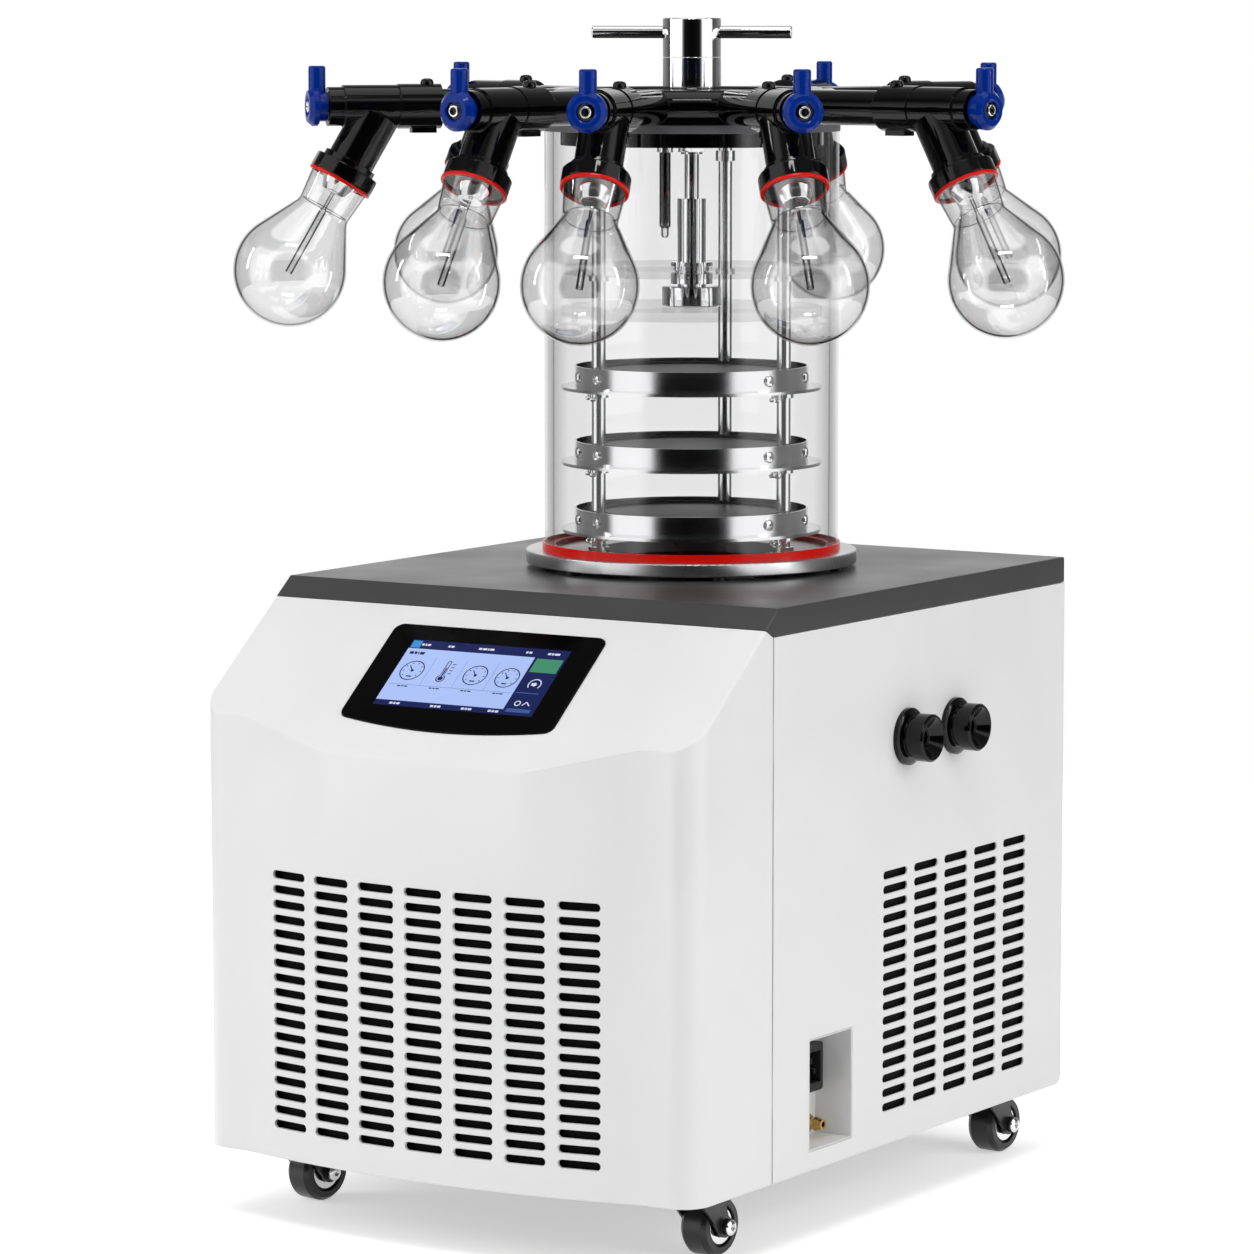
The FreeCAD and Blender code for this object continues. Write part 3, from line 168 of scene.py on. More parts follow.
def ramp(tree, source, stops):
    """Grey ramp of (position, value) stops."""
    node = make_node(tree, "ShaderNodeValToRGB")
    first, last = node.color_ramp.elements
    for element, (at, value) in ((first, stops[0]), (last, stops[-1])):
        element.position = at
        element.color = (value, value, value, 1)
    for at, value in stops[1:-1]:
        node.color_ramp.elements.new(at).color = (value, value, value, 1)
    tree.links.new(source, node.inputs[0])
    return node.outputs[0]


def maths(tree, operation, first, second):
    """Math node of two inputs, each a socket or a number."""
    node = make_node(tree, "ShaderNodeMath", operation=operation)
    for socket, value in zip(node.inputs, (first, second)):
        if isinstance(value, float):
            socket.default_value = value
        else:
            tree.links.new(value, socket)
    return node.outputs[0]


def surface(name, colour, rough, metal=0.0, spread=0.04, bump=0.02, grain=500.0,
            stretch=(1, 1, 1), coat=0.0, round_edge=0.0, mottle=0.03, ior=1.5):
    """Principled material with noise in its roughness, its colour and its bump."""
    mat, tree, out = blank(name)
    shader = make_node(tree, "ShaderNodeBsdfPrincipled")
    tree.links.new(shader.outputs[0], out.inputs[0])
    shader.inputs["Metallic"].default_value = metal
    shader.inputs["IOR"].default_value = ior
    shader.inputs["Coat Weight"].default_value = coat
    shader.inputs["Coat Roughness"].default_value = 0.08
    fine, broad = noise_pair(tree, grain, stretch)
    rough_map = spread_of(tree, broad, max(rough - spread, 0.0), rough + spread)
    tree.links.new(rough_map, shader.inputs["Roughness"])
    paint = tinted(tree, colour, spread_of(tree, broad, 1.0 - mottle, 1.0))
    tree.links.new(paint, shader.inputs["Base Color"])
    tree.links.new(relief(tree, fine, bump, round_edge), shader.inputs["Normal"])
    return mat


def lit(name, colour, strength=1.0):
    """A part of the display that gives its own light, under the glossy glass."""
    mat, tree, out = blank(name)
    shader = make_node(tree, "ShaderNodeBsdfPrincipled")
    tree.links.new(shader.outputs[0], out.inputs[0])
    shader.inputs["Base Color"].default_value = (0.002, 0.002, 0.003, 1)
    shader.inputs["IOR"].default_value = 1.4
    shader.inputs["Emission Strength"].default_value = strength
    fine, broad = noise_pair(tree, 200.0, (1, 1, 1))
    tree.links.new(spread_of(tree, broad, 0.08, 0.14), shader.inputs["Roughness"])
    glow = tinted(tree, colour, spread_of(tree, broad, 0.96, 1.0))
    tree.links.new(glow, shader.inputs["Emission Color"])
    tree.links.new(relief(tree, fine, 0.003), shader.inputs["Normal"])
    return mat


def clear(name, stops, gloss=0.04, edge=0.5, rough=0.02, bump=0.003, grain=40.0):
    """Thin clear wall: how much shows through depends on how squarely it is seen, and the dark stops of its ramp
    paint the dark outlines that refraction gives real glass.

    The gloss grows from the first share, seen squarely, to the edge's share.
    """
    mat, tree, out = blank(name)
    link = tree.links.new
    fine, broad = noise_pair(tree, grain, (1, 1, 1))
    normal = relief(tree, fine, bump)
    weight = make_node(tree, "ShaderNodeLayerWeight")
    weight.inputs["Blend"].default_value = 0.5
    facing = weight.outputs["Facing"]
    through = make_node(tree, "ShaderNodeBsdfTransparent")
    link(ramp(tree, facing, stops), through.inputs["Color"])
    shine = make_node(tree, "ShaderNodeBsdfGlossy")
    link(spread_of(tree, broad, rough * 0.5, rough * 1.5), shine.inputs["Roughness"])
    link(normal, shine.inputs["Normal"])
    share = make_node(tree, "ShaderNodeMapRange")
    share.inputs["To Min"].default_value = gloss
    share.inputs["To Max"].default_value = edge
    link(maths(tree, "POWER", facing, 5.0), share.inputs["Value"])
    mix = make_node(tree, "ShaderNodeMixShader")
    link(share.outputs[0], mix.inputs[0])
    link(through.outputs[0], mix.inputs[1])
    link(shine.outputs[0], mix.inputs[2])
    link(mix.outputs[0], out.inputs[0])
    return mat


MATERIALS = {
    "white_metal": surface("white_metal", (0.80, 0.80, 0.80), 0.40, bump=0.03, grain=900,
                           round_edge=0.0008),
    "white_moulding": surface("white_moulding", (0.80, 0.80, 0.80), 0.34, bump=0.02, grain=900,
                              round_edge=0.0010),
    "dark_cover": surface("dark_cover", (0.047, 0.047, 0.048), 0.34, bump=0.05, grain=1500,
                          round_edge=0.0008),
    "black_gloss": surface("black_gloss", (0.0015, 0.0015, 0.0015), 0.06, bump=0.006, grain=300,
                           round_edge=0.0008, ior=1.36, spread=0.03),
    "panel_black": surface("panel_black", (0.0012, 0.0012, 0.0012), 0.08, bump=0.006, grain=300,
                           round_edge=0.0008, ior=1.17, spread=0.03),
    "black_matte": surface("black_matte", (0.010, 0.010, 0.010), 0.55, bump=0.1, grain=900),
    # filter_black is painted shade: the near-black of the sheets behind the grilles stands for the shadowed inside
    # of the cabinet.
    "filter_black": surface("filter_black", (0.0015, 0.0015, 0.0015), 0.65, bump=0.1, grain=900,
                            ior=1.2),
    "blue_gloss": surface("blue_gloss", (0.0005, 0.022, 0.22), 0.13, bump=0.01, grain=300,
                          round_edge=0.0010, ior=1.27),
    "red_rubber": surface("red_rubber", (0.68, 0.005, 0.001), 0.25, bump=0.04, grain=900, ior=1.3),
    "grey_rubber": surface("grey_rubber", (0.10, 0.10, 0.105), 0.45, bump=0.05, grain=900),
    "black_rubber": surface("black_rubber", (0.006, 0.006, 0.006), 0.45, bump=0.06, grain=700),
    "caster_tyre": surface("caster_tyre", (0.006, 0.006, 0.006), 0.30, bump=0.06, grain=700,
                           round_edge=0.001),
    # The dips in these ramps are painted shade: dark rings where real glass would bend the dark surroundings into
    # view.
    "clear_wall": clear("clear_wall", (
        (0.0, 0.945), (0.45, 0.925), (0.64, 0.76), (0.652, 0.50), (0.668, 0.68), (0.77, 0.86),
        (0.88, 0.95), (1.0, 0.97)), gloss=0.052, edge=0.5),
    "clear_inner": clear("clear_inner", (
        (0.0, 0.995), (0.8, 0.985), (1.0, 0.93)), gloss=0.01, edge=0.12),
    "clear_plate": clear("clear_plate", (
        (0.0, 0.955), (0.8, 0.96), (1.0, 0.80)), gloss=0.02, edge=0.3),
    "clear_glass": clear("clear_glass", (
        (0.0, 0.97), (0.35, 0.945), (0.53, 0.88), (0.655, 0.80), (0.69, 0.25), (0.735, 0.12),
        (0.76, 0.35), (0.785, 0.84), (1.0, 0.94)), gloss=0.20, edge=0.6),
    "clear_tube": clear("clear_tube", (
        (0.0, 0.94), (0.15, 0.85), (0.28, 0.12), (0.7, 0.04), (1.0, 0.5)), gloss=0.06, edge=0.3),
    "chrome": surface("chrome", (0.80, 0.80, 0.81), 0.06, metal=1.0, bump=0.01, grain=700,
                      stretch=(1, 1, 0.1), round_edge=0.0006),
    "steel": surface("steel", (0.74, 0.74, 0.75), 0.14, metal=1.0, bump=0.02, grain=900,
                     stretch=(1, 1, 6)),
    "tray_steel": surface("tray_steel", (0.060, 0.060, 0.062), 0.42, bump=0.03, grain=900,
                          ior=1.25),
    "dark_steel": surface("dark_steel", (0.008, 0.008, 0.008), 0.30, bump=0.05, grain=600,
                          round_edge=0.0008),
    "aluminium": surface("aluminium", (0.60, 0.60, 0.61), 0.28, metal=1.0, bump=0.02, grain=900,
                         round_edge=0.0008),
    "brass": surface("brass", (0.55, 0.34, 0.10), 0.25, metal=1.0, bump=0.02, grain=600),
    "copper_tube": surface("copper_tube", (0.55, 0.22, 0.12), 0.3, metal=1.0, bump=0.02, grain=500),
    "board": surface("board", (0.01, 0.06, 0.02), 0.4, bump=0.05, grain=300),
}
OWN_LOOK = {
    "guide_plate": "clear_plate",
    "press_plate": "clear_plate",
    "sample_trays": "tray_steel",
    "touch_panel": "panel_black",
}


def crisp_tree():
    """Modifier that shades smooth across gentle edges and sharp across the rest."""
    tree = bpy.data.node_groups.new("crisp", "GeometryNodeTree")
    tree.interface.new_socket("Geometry", in_out="INPUT", socket_type="NodeSocketGeometry")
    tree.interface.new_socket("Geometry", in_out="OUTPUT", socket_type="NodeSocketGeometry")
    link = tree.links.new
    start = make_node(tree, "NodeGroupInput")
    end = make_node(tree, "NodeGroupOutput")
    weld = make_node(tree, "GeometryNodeMergeByDistance")
    weld.inputs["Distance"].default_value = 0.000001
    drop = make_node(tree, "GeometryNodeRemoveAttribute")
    drop.inputs["Name"].default_value = "custom_normal"
    faces = make_node(tree, "GeometryNodeSetShadeSmooth", domain="FACE")
    edges = make_node(tree, "GeometryNodeSetShadeSmooth", domain="EDGE")
    angle = make_node(tree, "GeometryNodeInputMeshEdgeAngle")
    gentle = make_node(tree, "FunctionNodeCompare", data_type="FLOAT", operation="LESS_THAN")
    gentle.inputs[1].default_value = CRISP_ANGLE
    link(angle.outputs["Unsigned Angle"], gentle.inputs[0])
    link(gentle.outputs[0], edges.inputs["Shade Smooth"])
    link(start.outputs[0], weld.inputs[0])
    link(weld.outputs[0], drop.inputs[0])
    link(drop.outputs[0], faces.inputs[0])
    link(faces.outputs[0], edges.inputs[0])
    link(edges.outputs[0], end.inputs[0])
    return tree


CRISP = crisp_tree()
for sub in frame["record"]["subparts"]:
    node = nodes[sub["node"]]
    node.data.materials.clear()
    node.data.materials.append(MATERIALS[OWN_LOOK.get(sub["node"], sub["material_slot"])])
    node.modifiers.new("crisp", "NODES").node_group = CRISP


# ---- mesh helpers ----
def piece(name, verts, faces, material, body, sharp=35.0, flat=False):
    """Mesh object on a body, smooth but for edges over the sharp angle, or flat all over."""
    mesh = bpy.data.meshes.new(name)
    mesh.from_pydata([tuple(v) for v in verts], [], faces)
    mesh.validate()
    mesh.polygons.foreach_set("use_smooth", [not flat] * len(mesh.polygons))
    if not flat:
        mesh.set_sharp_from_angle(angle=math.radians(sharp))
    mesh.materials.append(material)
    obj = bpy.data.objects.new(name, mesh)
    bpy.context.scene.collection.objects.link(obj)
    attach(obj, body)
    return obj


def lathe(profile, segments=48, closed=False):
    """Vertices and faces of a profile of (radius, z) points turned about Z."""
    verts, rings = [], []
    for r, z in profile:
        if r < 1e-9:
            rings.append([len(verts)] * segments)
            verts.append(Vector((0, 0, z)))
            continue
        rings.append(list(range(len(verts), len(verts) + segments)))
        for k in range(segments):
            a = 2 * math.pi * k / segments
            verts.append(Vector((r * math.cos(a), r * math.sin(a), z)))
    pairs = list(zip(rings, rings[1:]))
    if closed:
        pairs.append((rings[-1], rings[0]))
    faces = []
    for low, high in pairs:
        for k in range(segments):
            n = (k + 1) % segments
            corners = []
            for index in (low[k], low[n], high[n], high[k]):
                if index not in corners:
                    corners.append(index)
            if len(corners) > 2:
                faces.append(corners)
    return verts, faces


def block(x0, x1, y0, y1, z0, z1):
    """Box between two corners."""
    verts = [Vector((x, y, z)) for x in (x0, x1) for y in (y0, y1) for z in (z0, z1)]
    faces = [(0, 1, 3, 2), (4, 6, 7, 5), (0, 4, 5, 1), (2, 3, 7, 6), (0, 2, 6, 4), (1, 5, 7, 3)]
    return verts, faces


def merged(shapes):
    """One vertex and face list from several, each given with its matrix."""
    verts, faces = [], []
    for (points, polys), matrix in shapes:
        base = len(verts)
        verts += [matrix @ p for p in points]
        faces += [[base + i for i in poly] for poly in polys]
    return verts, faces


def aim(direction, origin):
    """Matrix that takes +Z to the direction and the origin to the point."""
    turn = Vector((0, 0, 1)).rotation_difference(Vector(direction))
    return Matrix.Translation(Vector(origin)) @ turn.to_matrix().to_4x4()


def around(bearing):
    """Matrix that turns a shape drawn on +X to this bearing about the bell's axis."""
    return Matrix.Translation((0, AXIS_Y, 0)) @ Matrix.Rotation(math.radians(bearing), 4, "Z")


# ---- clear parts, turned more finely than the part files ----
def bell():
    """Clear cylinder, and the lining that stands for its inner face."""
    centre = Matrix.Translation((0, AXIS_Y, 0))
    inner = BELL_R - BELL_WALL
    wall = [(inner, BELL_LOW), (BELL_R, BELL_LOW), (BELL_R, BELL_TOP), (inner, BELL_TOP)]
    outside = lathe(wall, 256)
    obj = piece("bell_wall", *merged([(outside, centre)]), MATERIALS["clear_wall"], "machine")
    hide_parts("bell_cylinder")
    inside = lathe([(inner, BELL_TOP), (inner, BELL_LOW)], 256)
    obj = piece("bell_inside", *merged([(inside, centre)]), MATERIALS["clear_inner"], "machine")


def flask_line(inset, steps):
    """Points (radius, distance along the branch) from the mouth to the bottom of a flask."""
    bend = BEND_R + inset
    bulb = BULB_R - inset
    hub_r = THROAT_R + BEND_R
    start_r = hub_r - BEND_R * math.cos(CONE)
    run = (BULB_R * math.cos(CONE) - start_r) / math.tan(CONE)
    centre = BEND_AT + (BULB_R + BEND_R) * math.sin(CONE) + run
    line = [(MOUTH_R - inset, MOUTH_AT)]
    for k in range(steps + 1):
        a = CONE * k / steps
        line.append((hub_r - bend * math.cos(a), BEND_AT + bend * math.sin(a)))
    for k in range(4 * steps + 1):
        a = -CONE + (math.pi / 2 + CONE) * k / (4 * steps)
        line.append((max(bulb * math.cos(a), 0.0), centre + bulb * math.sin(a)))
    return line


def branch_matrix():
    """From Z down the branch to the arm on +X."""
    return Matrix.Translation((BRANCH_X, 0, ARM_Z)) @ Matrix.Rotation(BRANCH_TILT, 4, "Y")


def on_branches(shape):
    """The shape on all eight branches."""
    return merged([(shape, around(bearing) @ branch_matrix()) for bearing in PORT_BEARINGS])


def flasks():
    """Glass of the flasks, and the lining that stands for its inner face."""
    outer = flask_line(0.0, 10)
    glass = on_branches(lathe(outer, 96))
    obj = piece("flask_glass", *glass, MATERIALS["clear_glass"], "machine", sharp=60)
    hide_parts("flasks")
    lining = on_branches(lathe([outer[0]] + flask_line(GLASS, 10), 64))
    obj = piece("flask_lining", *lining, MATERIALS["clear_inner"], "machine", sharp=60)


def flask_fittings():
    """Bright cone under each socket, the clear dip tube below it, and a fine black ring at the bend: painted shade
    for the dark line the glass shows there.
    """
    cone = lathe([
        (0, 0.0712), (0.0150, 0.0712), (0.0140, 0.0750), (0.0110, 0.0825), (0.0100, 0.0835),
        (0.0050, 0.0835), (0, 0.0820),
    ], 48)
    obj = piece("flask_bungs", *on_branches(cone), MATERIALS["chrome"], "machine")
    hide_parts("flask_tubes")
    tube = lathe([
        (0.0016, 0.0835), (0.0016, 0.0980), (0.0030, 0.1000), (0.0030, 0.1600), (0.0018, 0.1600),
    ], 24)
    obj = piece("dip_tubes", *on_branches(tube), MATERIALS["clear_tube"], "machine")
    # The black ring at the bend is painted shade, standing for the dark line that the bent glass shows.
    half = 0.0003
    line = [(0.0205, BEND_AT - half), (0.0208, BEND_AT), (0.0205, BEND_AT + half)]
    bend_shade = lathe(line, 64, closed=True)
    obj = piece("bend_shade_lines", *on_branches(bend_shade), MATERIALS["black_matte"], "machine")


def flask_seals():
    """Red ring at each mouth, and a black disc inside it: painted shade for the dark socket seen through the neck.
    """
    seal = lathe([
        (SEAL_BORE, SEAL_AT), (0.0272, SEAL_AT), (0.0280, SEAL_AT + 0.0008),
        (0.0280, SEAL_AT + 0.0022), (0.0272, SEAL_AT + 0.0030), (SEAL_BORE, SEAL_AT + 0.0030),
    ], 64, closed=True)
    obj = piece("seal_rings", *on_branches(seal), MATERIALS["red_rubber"], "machine")
    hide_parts("flask_seals")
    # The flat black disc across the ring's bore is painted shade for the dark inside of the socket.
    end = lathe([(0, SEAL_AT + 0.0010), (SEAL_BORE, SEAL_AT + 0.0010)], 48)
    obj = piece("mouth_shade_discs", *on_branches(end), MATERIALS["black_gloss"], "machine", flat=True)


# ---- small hardware ----
def button_head(radius, height, socket):
    """Profile of a domed screw head with a socket, on Z."""
    return lathe([
        (radius, 0), (radius, height * 0.45), (radius * 0.8, height * 0.85),
        (socket * 1.1, height), (socket, height * 0.95), (socket, height * 0.4), (0, height * 0.4),
    ], 32)


def knob_screws():
    """Black washer in the face of each knob, with a bright ring round its dark middle."""
    washer = lathe([(0.0074, -0.0032), (0.0074, -0.0022), (0.0068, -0.0018), (0, -0.0018)], 32)
    ring = lathe([
        (0.0048, -0.0020), (0.0048, -0.0002), (0.0042, 0.0003), (0.0034, 0.0003),
        (0.0031, -0.0010), (0.0031, -0.0020),
    ], 32, closed=True)
    outward = Matrix.Translation((KNOB_FACE, 0, ARM_Z)) @ Matrix.Rotation(math.pi / 2, 4, "Y")
    for k, bearing in enumerate(PORT_BEARINGS, 1):
        face = around(bearing) @ outward
        body = "handle_%d" % k
        obj = piece("knob_washer_%d" % k, *merged([(washer, face)]), MATERIALS["black_gloss"], body)
        obj = piece("knob_screw_%d" % k, *merged([(ring, face)]), MATERIALS["chrome"], body)


def clamp_screws():
    """Screw on top of each arm's joint and the lug under it."""
    head = button_head(0.0056, 0.0052, 0.0022)
    lug = block(CLAMP_X - 0.007, CLAMP_X + 0.014, -0.006, 0.006, ARM_Z - 0.0222, ARM_Z - 0.017)
    top = Matrix.Translation((CLAMP_X, 0, ARM_Z + 0.0180))
    shapes = []
    for bearing in PORT_BEARINGS:
        shapes.append((head, around(bearing) @ top))
        shapes.append((lug, around(bearing)))
    obj = piece("clamp_screws", *merged(shapes), MATERIALS["black_gloss"], "machine")


def rods():
    """The three rods of the rack, with a foot, collars under the plates and a nut on top."""
    foot_r = ROD_R + 0.003
    collar_r = ROD_R + 0.0025
    nut_low, nut_top = ROD_TOP - 0.012, ROD_TOP - 0.003
    foot_top = FLANGE_TOP + 0.005
    line = [(0, FLANGE_TOP), (foot_r, FLANGE_TOP), (foot_r, foot_top), (ROD_R, foot_top)]
    for z in SHELF_Z + (GUIDE_LOW,):
        line += [(ROD_R, z - 0.005), (collar_r, z - 0.005), (collar_r, z), (ROD_R, z)]
    line += [(ROD_R, nut_low), (collar_r, nut_low), (collar_r, nut_top), (ROD_R, nut_top)]
    line += [(ROD_R, ROD_TOP), (0, ROD_TOP)]
    rod = lathe(line, 48)
    out = Matrix.Translation((ROD_CIRCLE, 0, 0))
    shapes = [(rod, around(bearing) @ out) for bearing in ROD_BEARINGS]
    obj = piece("rack_tubes", *merged(shapes), MATERIALS["steel"], "machine")
    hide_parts("rack_rods")


def probe():
    """Black sensor in a clear sleeve that hangs from the lid."""
    place = around(PROBE_BEARING) @ Matrix.Translation((PROBE_CIRCLE, 0, 0))
    core = lathe([
        (0, PROBE_TOP), (0.0030, PROBE_TOP), (0.0030, PROBE_LOW + 0.004), (0.0020, PROBE_LOW),
        (0, PROBE_LOW),
    ], 24)
    obj = piece("probe_core", *merged([(core, place)]), MATERIALS["black_gloss"], "machine")
    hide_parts("sensor_probe")
    sleeve = lathe([
        (PROBE_R, PROBE_TOP), (PROBE_R, PROBE_LOW), (0.0032, PROBE_LOW - 0.002),
        (0.0032, PROBE_TIP + 0.002), (0.0020, PROBE_TIP), (0, PROBE_TIP),
    ], 32)
    obj = piece("probe_sleeve", *merged([(sleeve, place)]), MATERIALS["clear_tube"], "machine")
    nut_r, nut_low = PROBE_R + 0.0022, PROBE_TOP - 0.007
    section = [(PROBE_R, nut_low), (nut_r, nut_low), (nut_r, PROBE_TOP), (PROBE_R, PROBE_TOP)]
    nut = lathe(section, 32)
    obj = piece("probe_nut", *merged([(nut, place)]), MATERIALS["chrome"], "machine")


def rack_screws():
    """Screws through the hoops, pairs that hang under the plates, and the hub of the lowest one."""
    head = button_head(0.0048, 0.0026, 0.0017)
    outward = Matrix.Rotation(math.pi / 2, 4, "Y")
    downward = Matrix.Rotation(math.pi, 4, "X")
    shapes = []
    for z in SHELF_Z:
        middle = z + SHELF_THICK + HOOP_HEIGHT / 2
        on_hoop = Matrix.Translation((HOOP_R - 0.0002, 0, middle)) @ outward
        shapes += [(head, around(bearing) @ on_hoop) for bearing in HOOP_SCREWS]
        below = Matrix.Translation((HOOP_R - 0.0015, 0, z)) @ downward
        for bearing in PLATE_SCREWS:
            for side, drop in ((-2.2, 0.0035), (1.6, 0.0045)):
                stud = lathe([
                    (0.0014, 0), (0.0014, drop), (0.0026, drop), (0.0030, drop + 0.0014),
                    (0.0024, drop + 0.0030), (0, drop + 0.0034),
                ], 20)
                shapes.append((stud, around(bearing + side) @ below))
    hub = lathe([(0.0075, 0), (0.0075, 0.0085), (0.0060, 0.0095), (0, 0.0095)], 32)
    under = Matrix.Translation((0, AXIS_Y, SHELF_Z[0])) @ downward
    shapes.append((hub, under))
    stud = lathe([(0.0026, 0), (0.0026, 0.0045), (0.0018, 0.0058), (0, 0.0060)], 20)
    for x in (-0.012, 0.012):
        shapes.append((stud, Matrix.Translation((x * ACROSS[0], x * ACROSS[1], 0)) @ under))
    obj = piece("rack_screws", *merged(shapes), MATERIALS["chrome"], "machine")


def caster_trim():
    """Bright ring on each side of each wheel and the caps of its axle."""
    for k in range(1, 5):
        roll = joints["caster_roll_%d" % k]
        axis = Vector(roll["axis"])
        centre = Vector(roll["pos_m"])
        ring = [(0.0092, 0.0098), (0.0148, 0.0098), (0.0148, 0.0112), (0.0092, 0.0112)]
        shape = lathe(ring, 48, closed=True)
        both = merged([(shape, aim(axis, centre)), (shape, aim(-axis, centre))])
        obj = piece("wheel_ring_%d" % k, *both, MATERIALS["chrome"], "wheel_%d" % k)
        head = button_head(0.0066, 0.0035, 0.0026)
        nuts = merged([
            (head, aim(axis, centre + axis * AXLE_END)),
            (head, aim(-axis, centre - axis * AXLE_END)),
        ])
        obj = piece("axle_cap_%d" % k, *nuts, MATERIALS["chrome"], "fork_%d" % k)


def slot_shade_sheets():
    """Black sheets behind the grilles: painted shade for the dark inside of the cabinet seen through the slots."""
    behind, count, reach = 0.0075, 16, 0.17
    front_heights = (0.075, 0.320)
    heights = (0.078, 0.298)
    parts = []

    def sheet(verts, face):
        parts.append(((verts, [face]), Matrix()))

    for k in range(count):
        ends = [-reach + 2 * reach * n / count for n in (k, k + 1)]
        bulge = [FRONT_BULGE_R - math.sqrt(FRONT_BULGE_R ** 2 - x ** 2) for x in ends]
        front = [FRONT_Y + rise + AXIS_Y + behind for rise in bulge]
        corners = [Vector((x, y, z)) for x, y in zip(ends, front) for z in front_heights]
        sheet(corners, (0, 2, 3, 1))
    side = [Vector((HALF - 0.004, y + AXIS_Y, z)) for y in (-0.095, 0.172) for z in heights]
    sheet(side, (0, 2, 3, 1))
    sheet([Vector((-v.x, v.y, v.z)) for v in side], (0, 1, 3, 2))
    rear_y = 0.226 + AXIS_Y
    sheet([Vector((x, rear_y, z)) for x in (-0.14, 0.14) for z in heights], (0, 1, 3, 2))
    obj = piece("slot_shade_sheets", *merged(parts), MATERIALS["filter_black"], "machine", flat=True)


# ---- the lit display ----
def on_glass(lift):
    """Matrix from display millimetres (x right, y down the slope) to the glass."""
    down = Vector((0, -math.cos(SLOPE), -math.sin(SLOPE)))
    out = Vector((0, -math.sin(SLOPE), math.cos(SLOPE)))
    origin = Vector((0, CAP_TOP_Y, CAB_TOP)) + out * (GLASS_PROUD + lift)
    return Matrix((
        (0.001, 0, 0, origin.x),
        (0, down.y * 0.001, out.y, origin.y),
        (0, down.z * 0.001, out.z, origin.z),
        (0, 0, 0, 1),
    ))


def rect(x0, y0, x1, y1):
    """Rectangle on the display."""
    corners = ((x0, y0), (x0, y1), (x1, y1), (x1, y0))
    return [Vector((x, y, 0)) for x, y in corners], [(0, 1, 2, 3)]


def arc(cx, cy, inner, outer, start=0.0, end=360.0, steps=40):
    """Flat band between two radii, over a range of degrees."""
    verts, faces = [], []
    for k in range(steps + 1):
        a = math.radians(start + (end - start) * k / steps)
        for r in (inner, outer):
            verts.append(Vector((cx + r * math.cos(a), cy + r * math.sin(a), 0)))
    for k in range(steps):
        faces.append((2 * k, 2 * k + 1, 2 * k + 3, 2 * k + 2))
    return verts, faces


def stroke(x0, y0, x1, y1, width):
    """Straight line with a width."""
    run = Vector((x1 - x0, y1 - y0, 0))
    side = Vector((-run.y, run.x, 0)).normalized() * width / 2
    a, b = Vector((x0, y0, 0)), Vector((x1, y1, 0))
    return [a - side, b - side, b + side, a + side], [(0, 1, 2, 3)]


def draw(name, shapes, colour, lift, strength=1.0):
    """One lit piece from flat shapes, at its lift above the glass."""
    shape = merged([(s, on_glass(lift)) for s in shapes])
    obj = piece(name, *shape, lit(name, colour, strength), "machine", flat=True)


def label(x, y, widths, height=2.2):
    """A row of small bars that stands for a label."""
    bars = []
    for w in widths:
        bars.append(rect(x, y, x + w, y + height))
        x += w + 0.8
    return bars


# Millimetres across and down the slope: the display's edges and what is drawn on it.
LEFT, RIGHT, TOP, LOW = -77.0, 77.0, 65.0, 140.5
SIDE = 47.0
DIALS, DIAL_Y = (-60.0, 2.0, 33.0), 100.0
TUBE_X, TUBE_Y = -29.0, 99.0
DIVIDERS = (-44.5, -13.5, 17.5)
HEADINGS = (
    (-66, (2.5, 1.5, 3)), (-40, (2, 3)), (-10, (3, 4, 1.5, 4)), (36, (2, 3)), (57, (3, 2, 5)),
)
ON_GLASS, ON_BASE, ON_FIELD = 0.00004, 0.00008, 0.00012


def dial(cx, cy):
    """Ring, ticks, needle and hub."""
    marks = [arc(cx, cy, 10.2, 11.2)]
    for k in range(8):
        a = math.radians(-220 + 260 * k / 7)
        c, s = math.cos(a), math.sin(a)
        marks.append(stroke(cx + 7.6 * c, cy + 7.6 * s, cx + 9.4 * c, cy + 9.4 * s, 0.7))
    marks += [arc(cx, cy, 0, 1.5, steps=16), stroke(cx, cy, cx - 4.5, cy - 5.5, 0.9)]
    marks.append(rect(cx - 2.5, cy + 6, cx + 2.5, cy + 7.4))
    return marks


def thermometer(cx, cy):
    """Tube with a bulb, a column and a scale."""
    marks = [stroke(cx + x, cy - 11, cx + x, cy + 4, 0.8) for x in (-1.5, 1.5)]
    marks += [arc(cx, cy - 11, 1.1, 1.9, 180, 360, 12), arc(cx, cy + 7.5, 3.2, 4.2, -60, 240, 24)]
    marks += [arc(cx, cy + 7.5, 0, 2.4, steps=16), stroke(cx, cy + 7, cx, cy - 5, 1.2)]
    marks += [stroke(cx + 4, cy - 9 + 3.5 * k, cx + 7.5, cy - 9 + 3.5 * k, 0.8) for k in range(4)]
    return marks


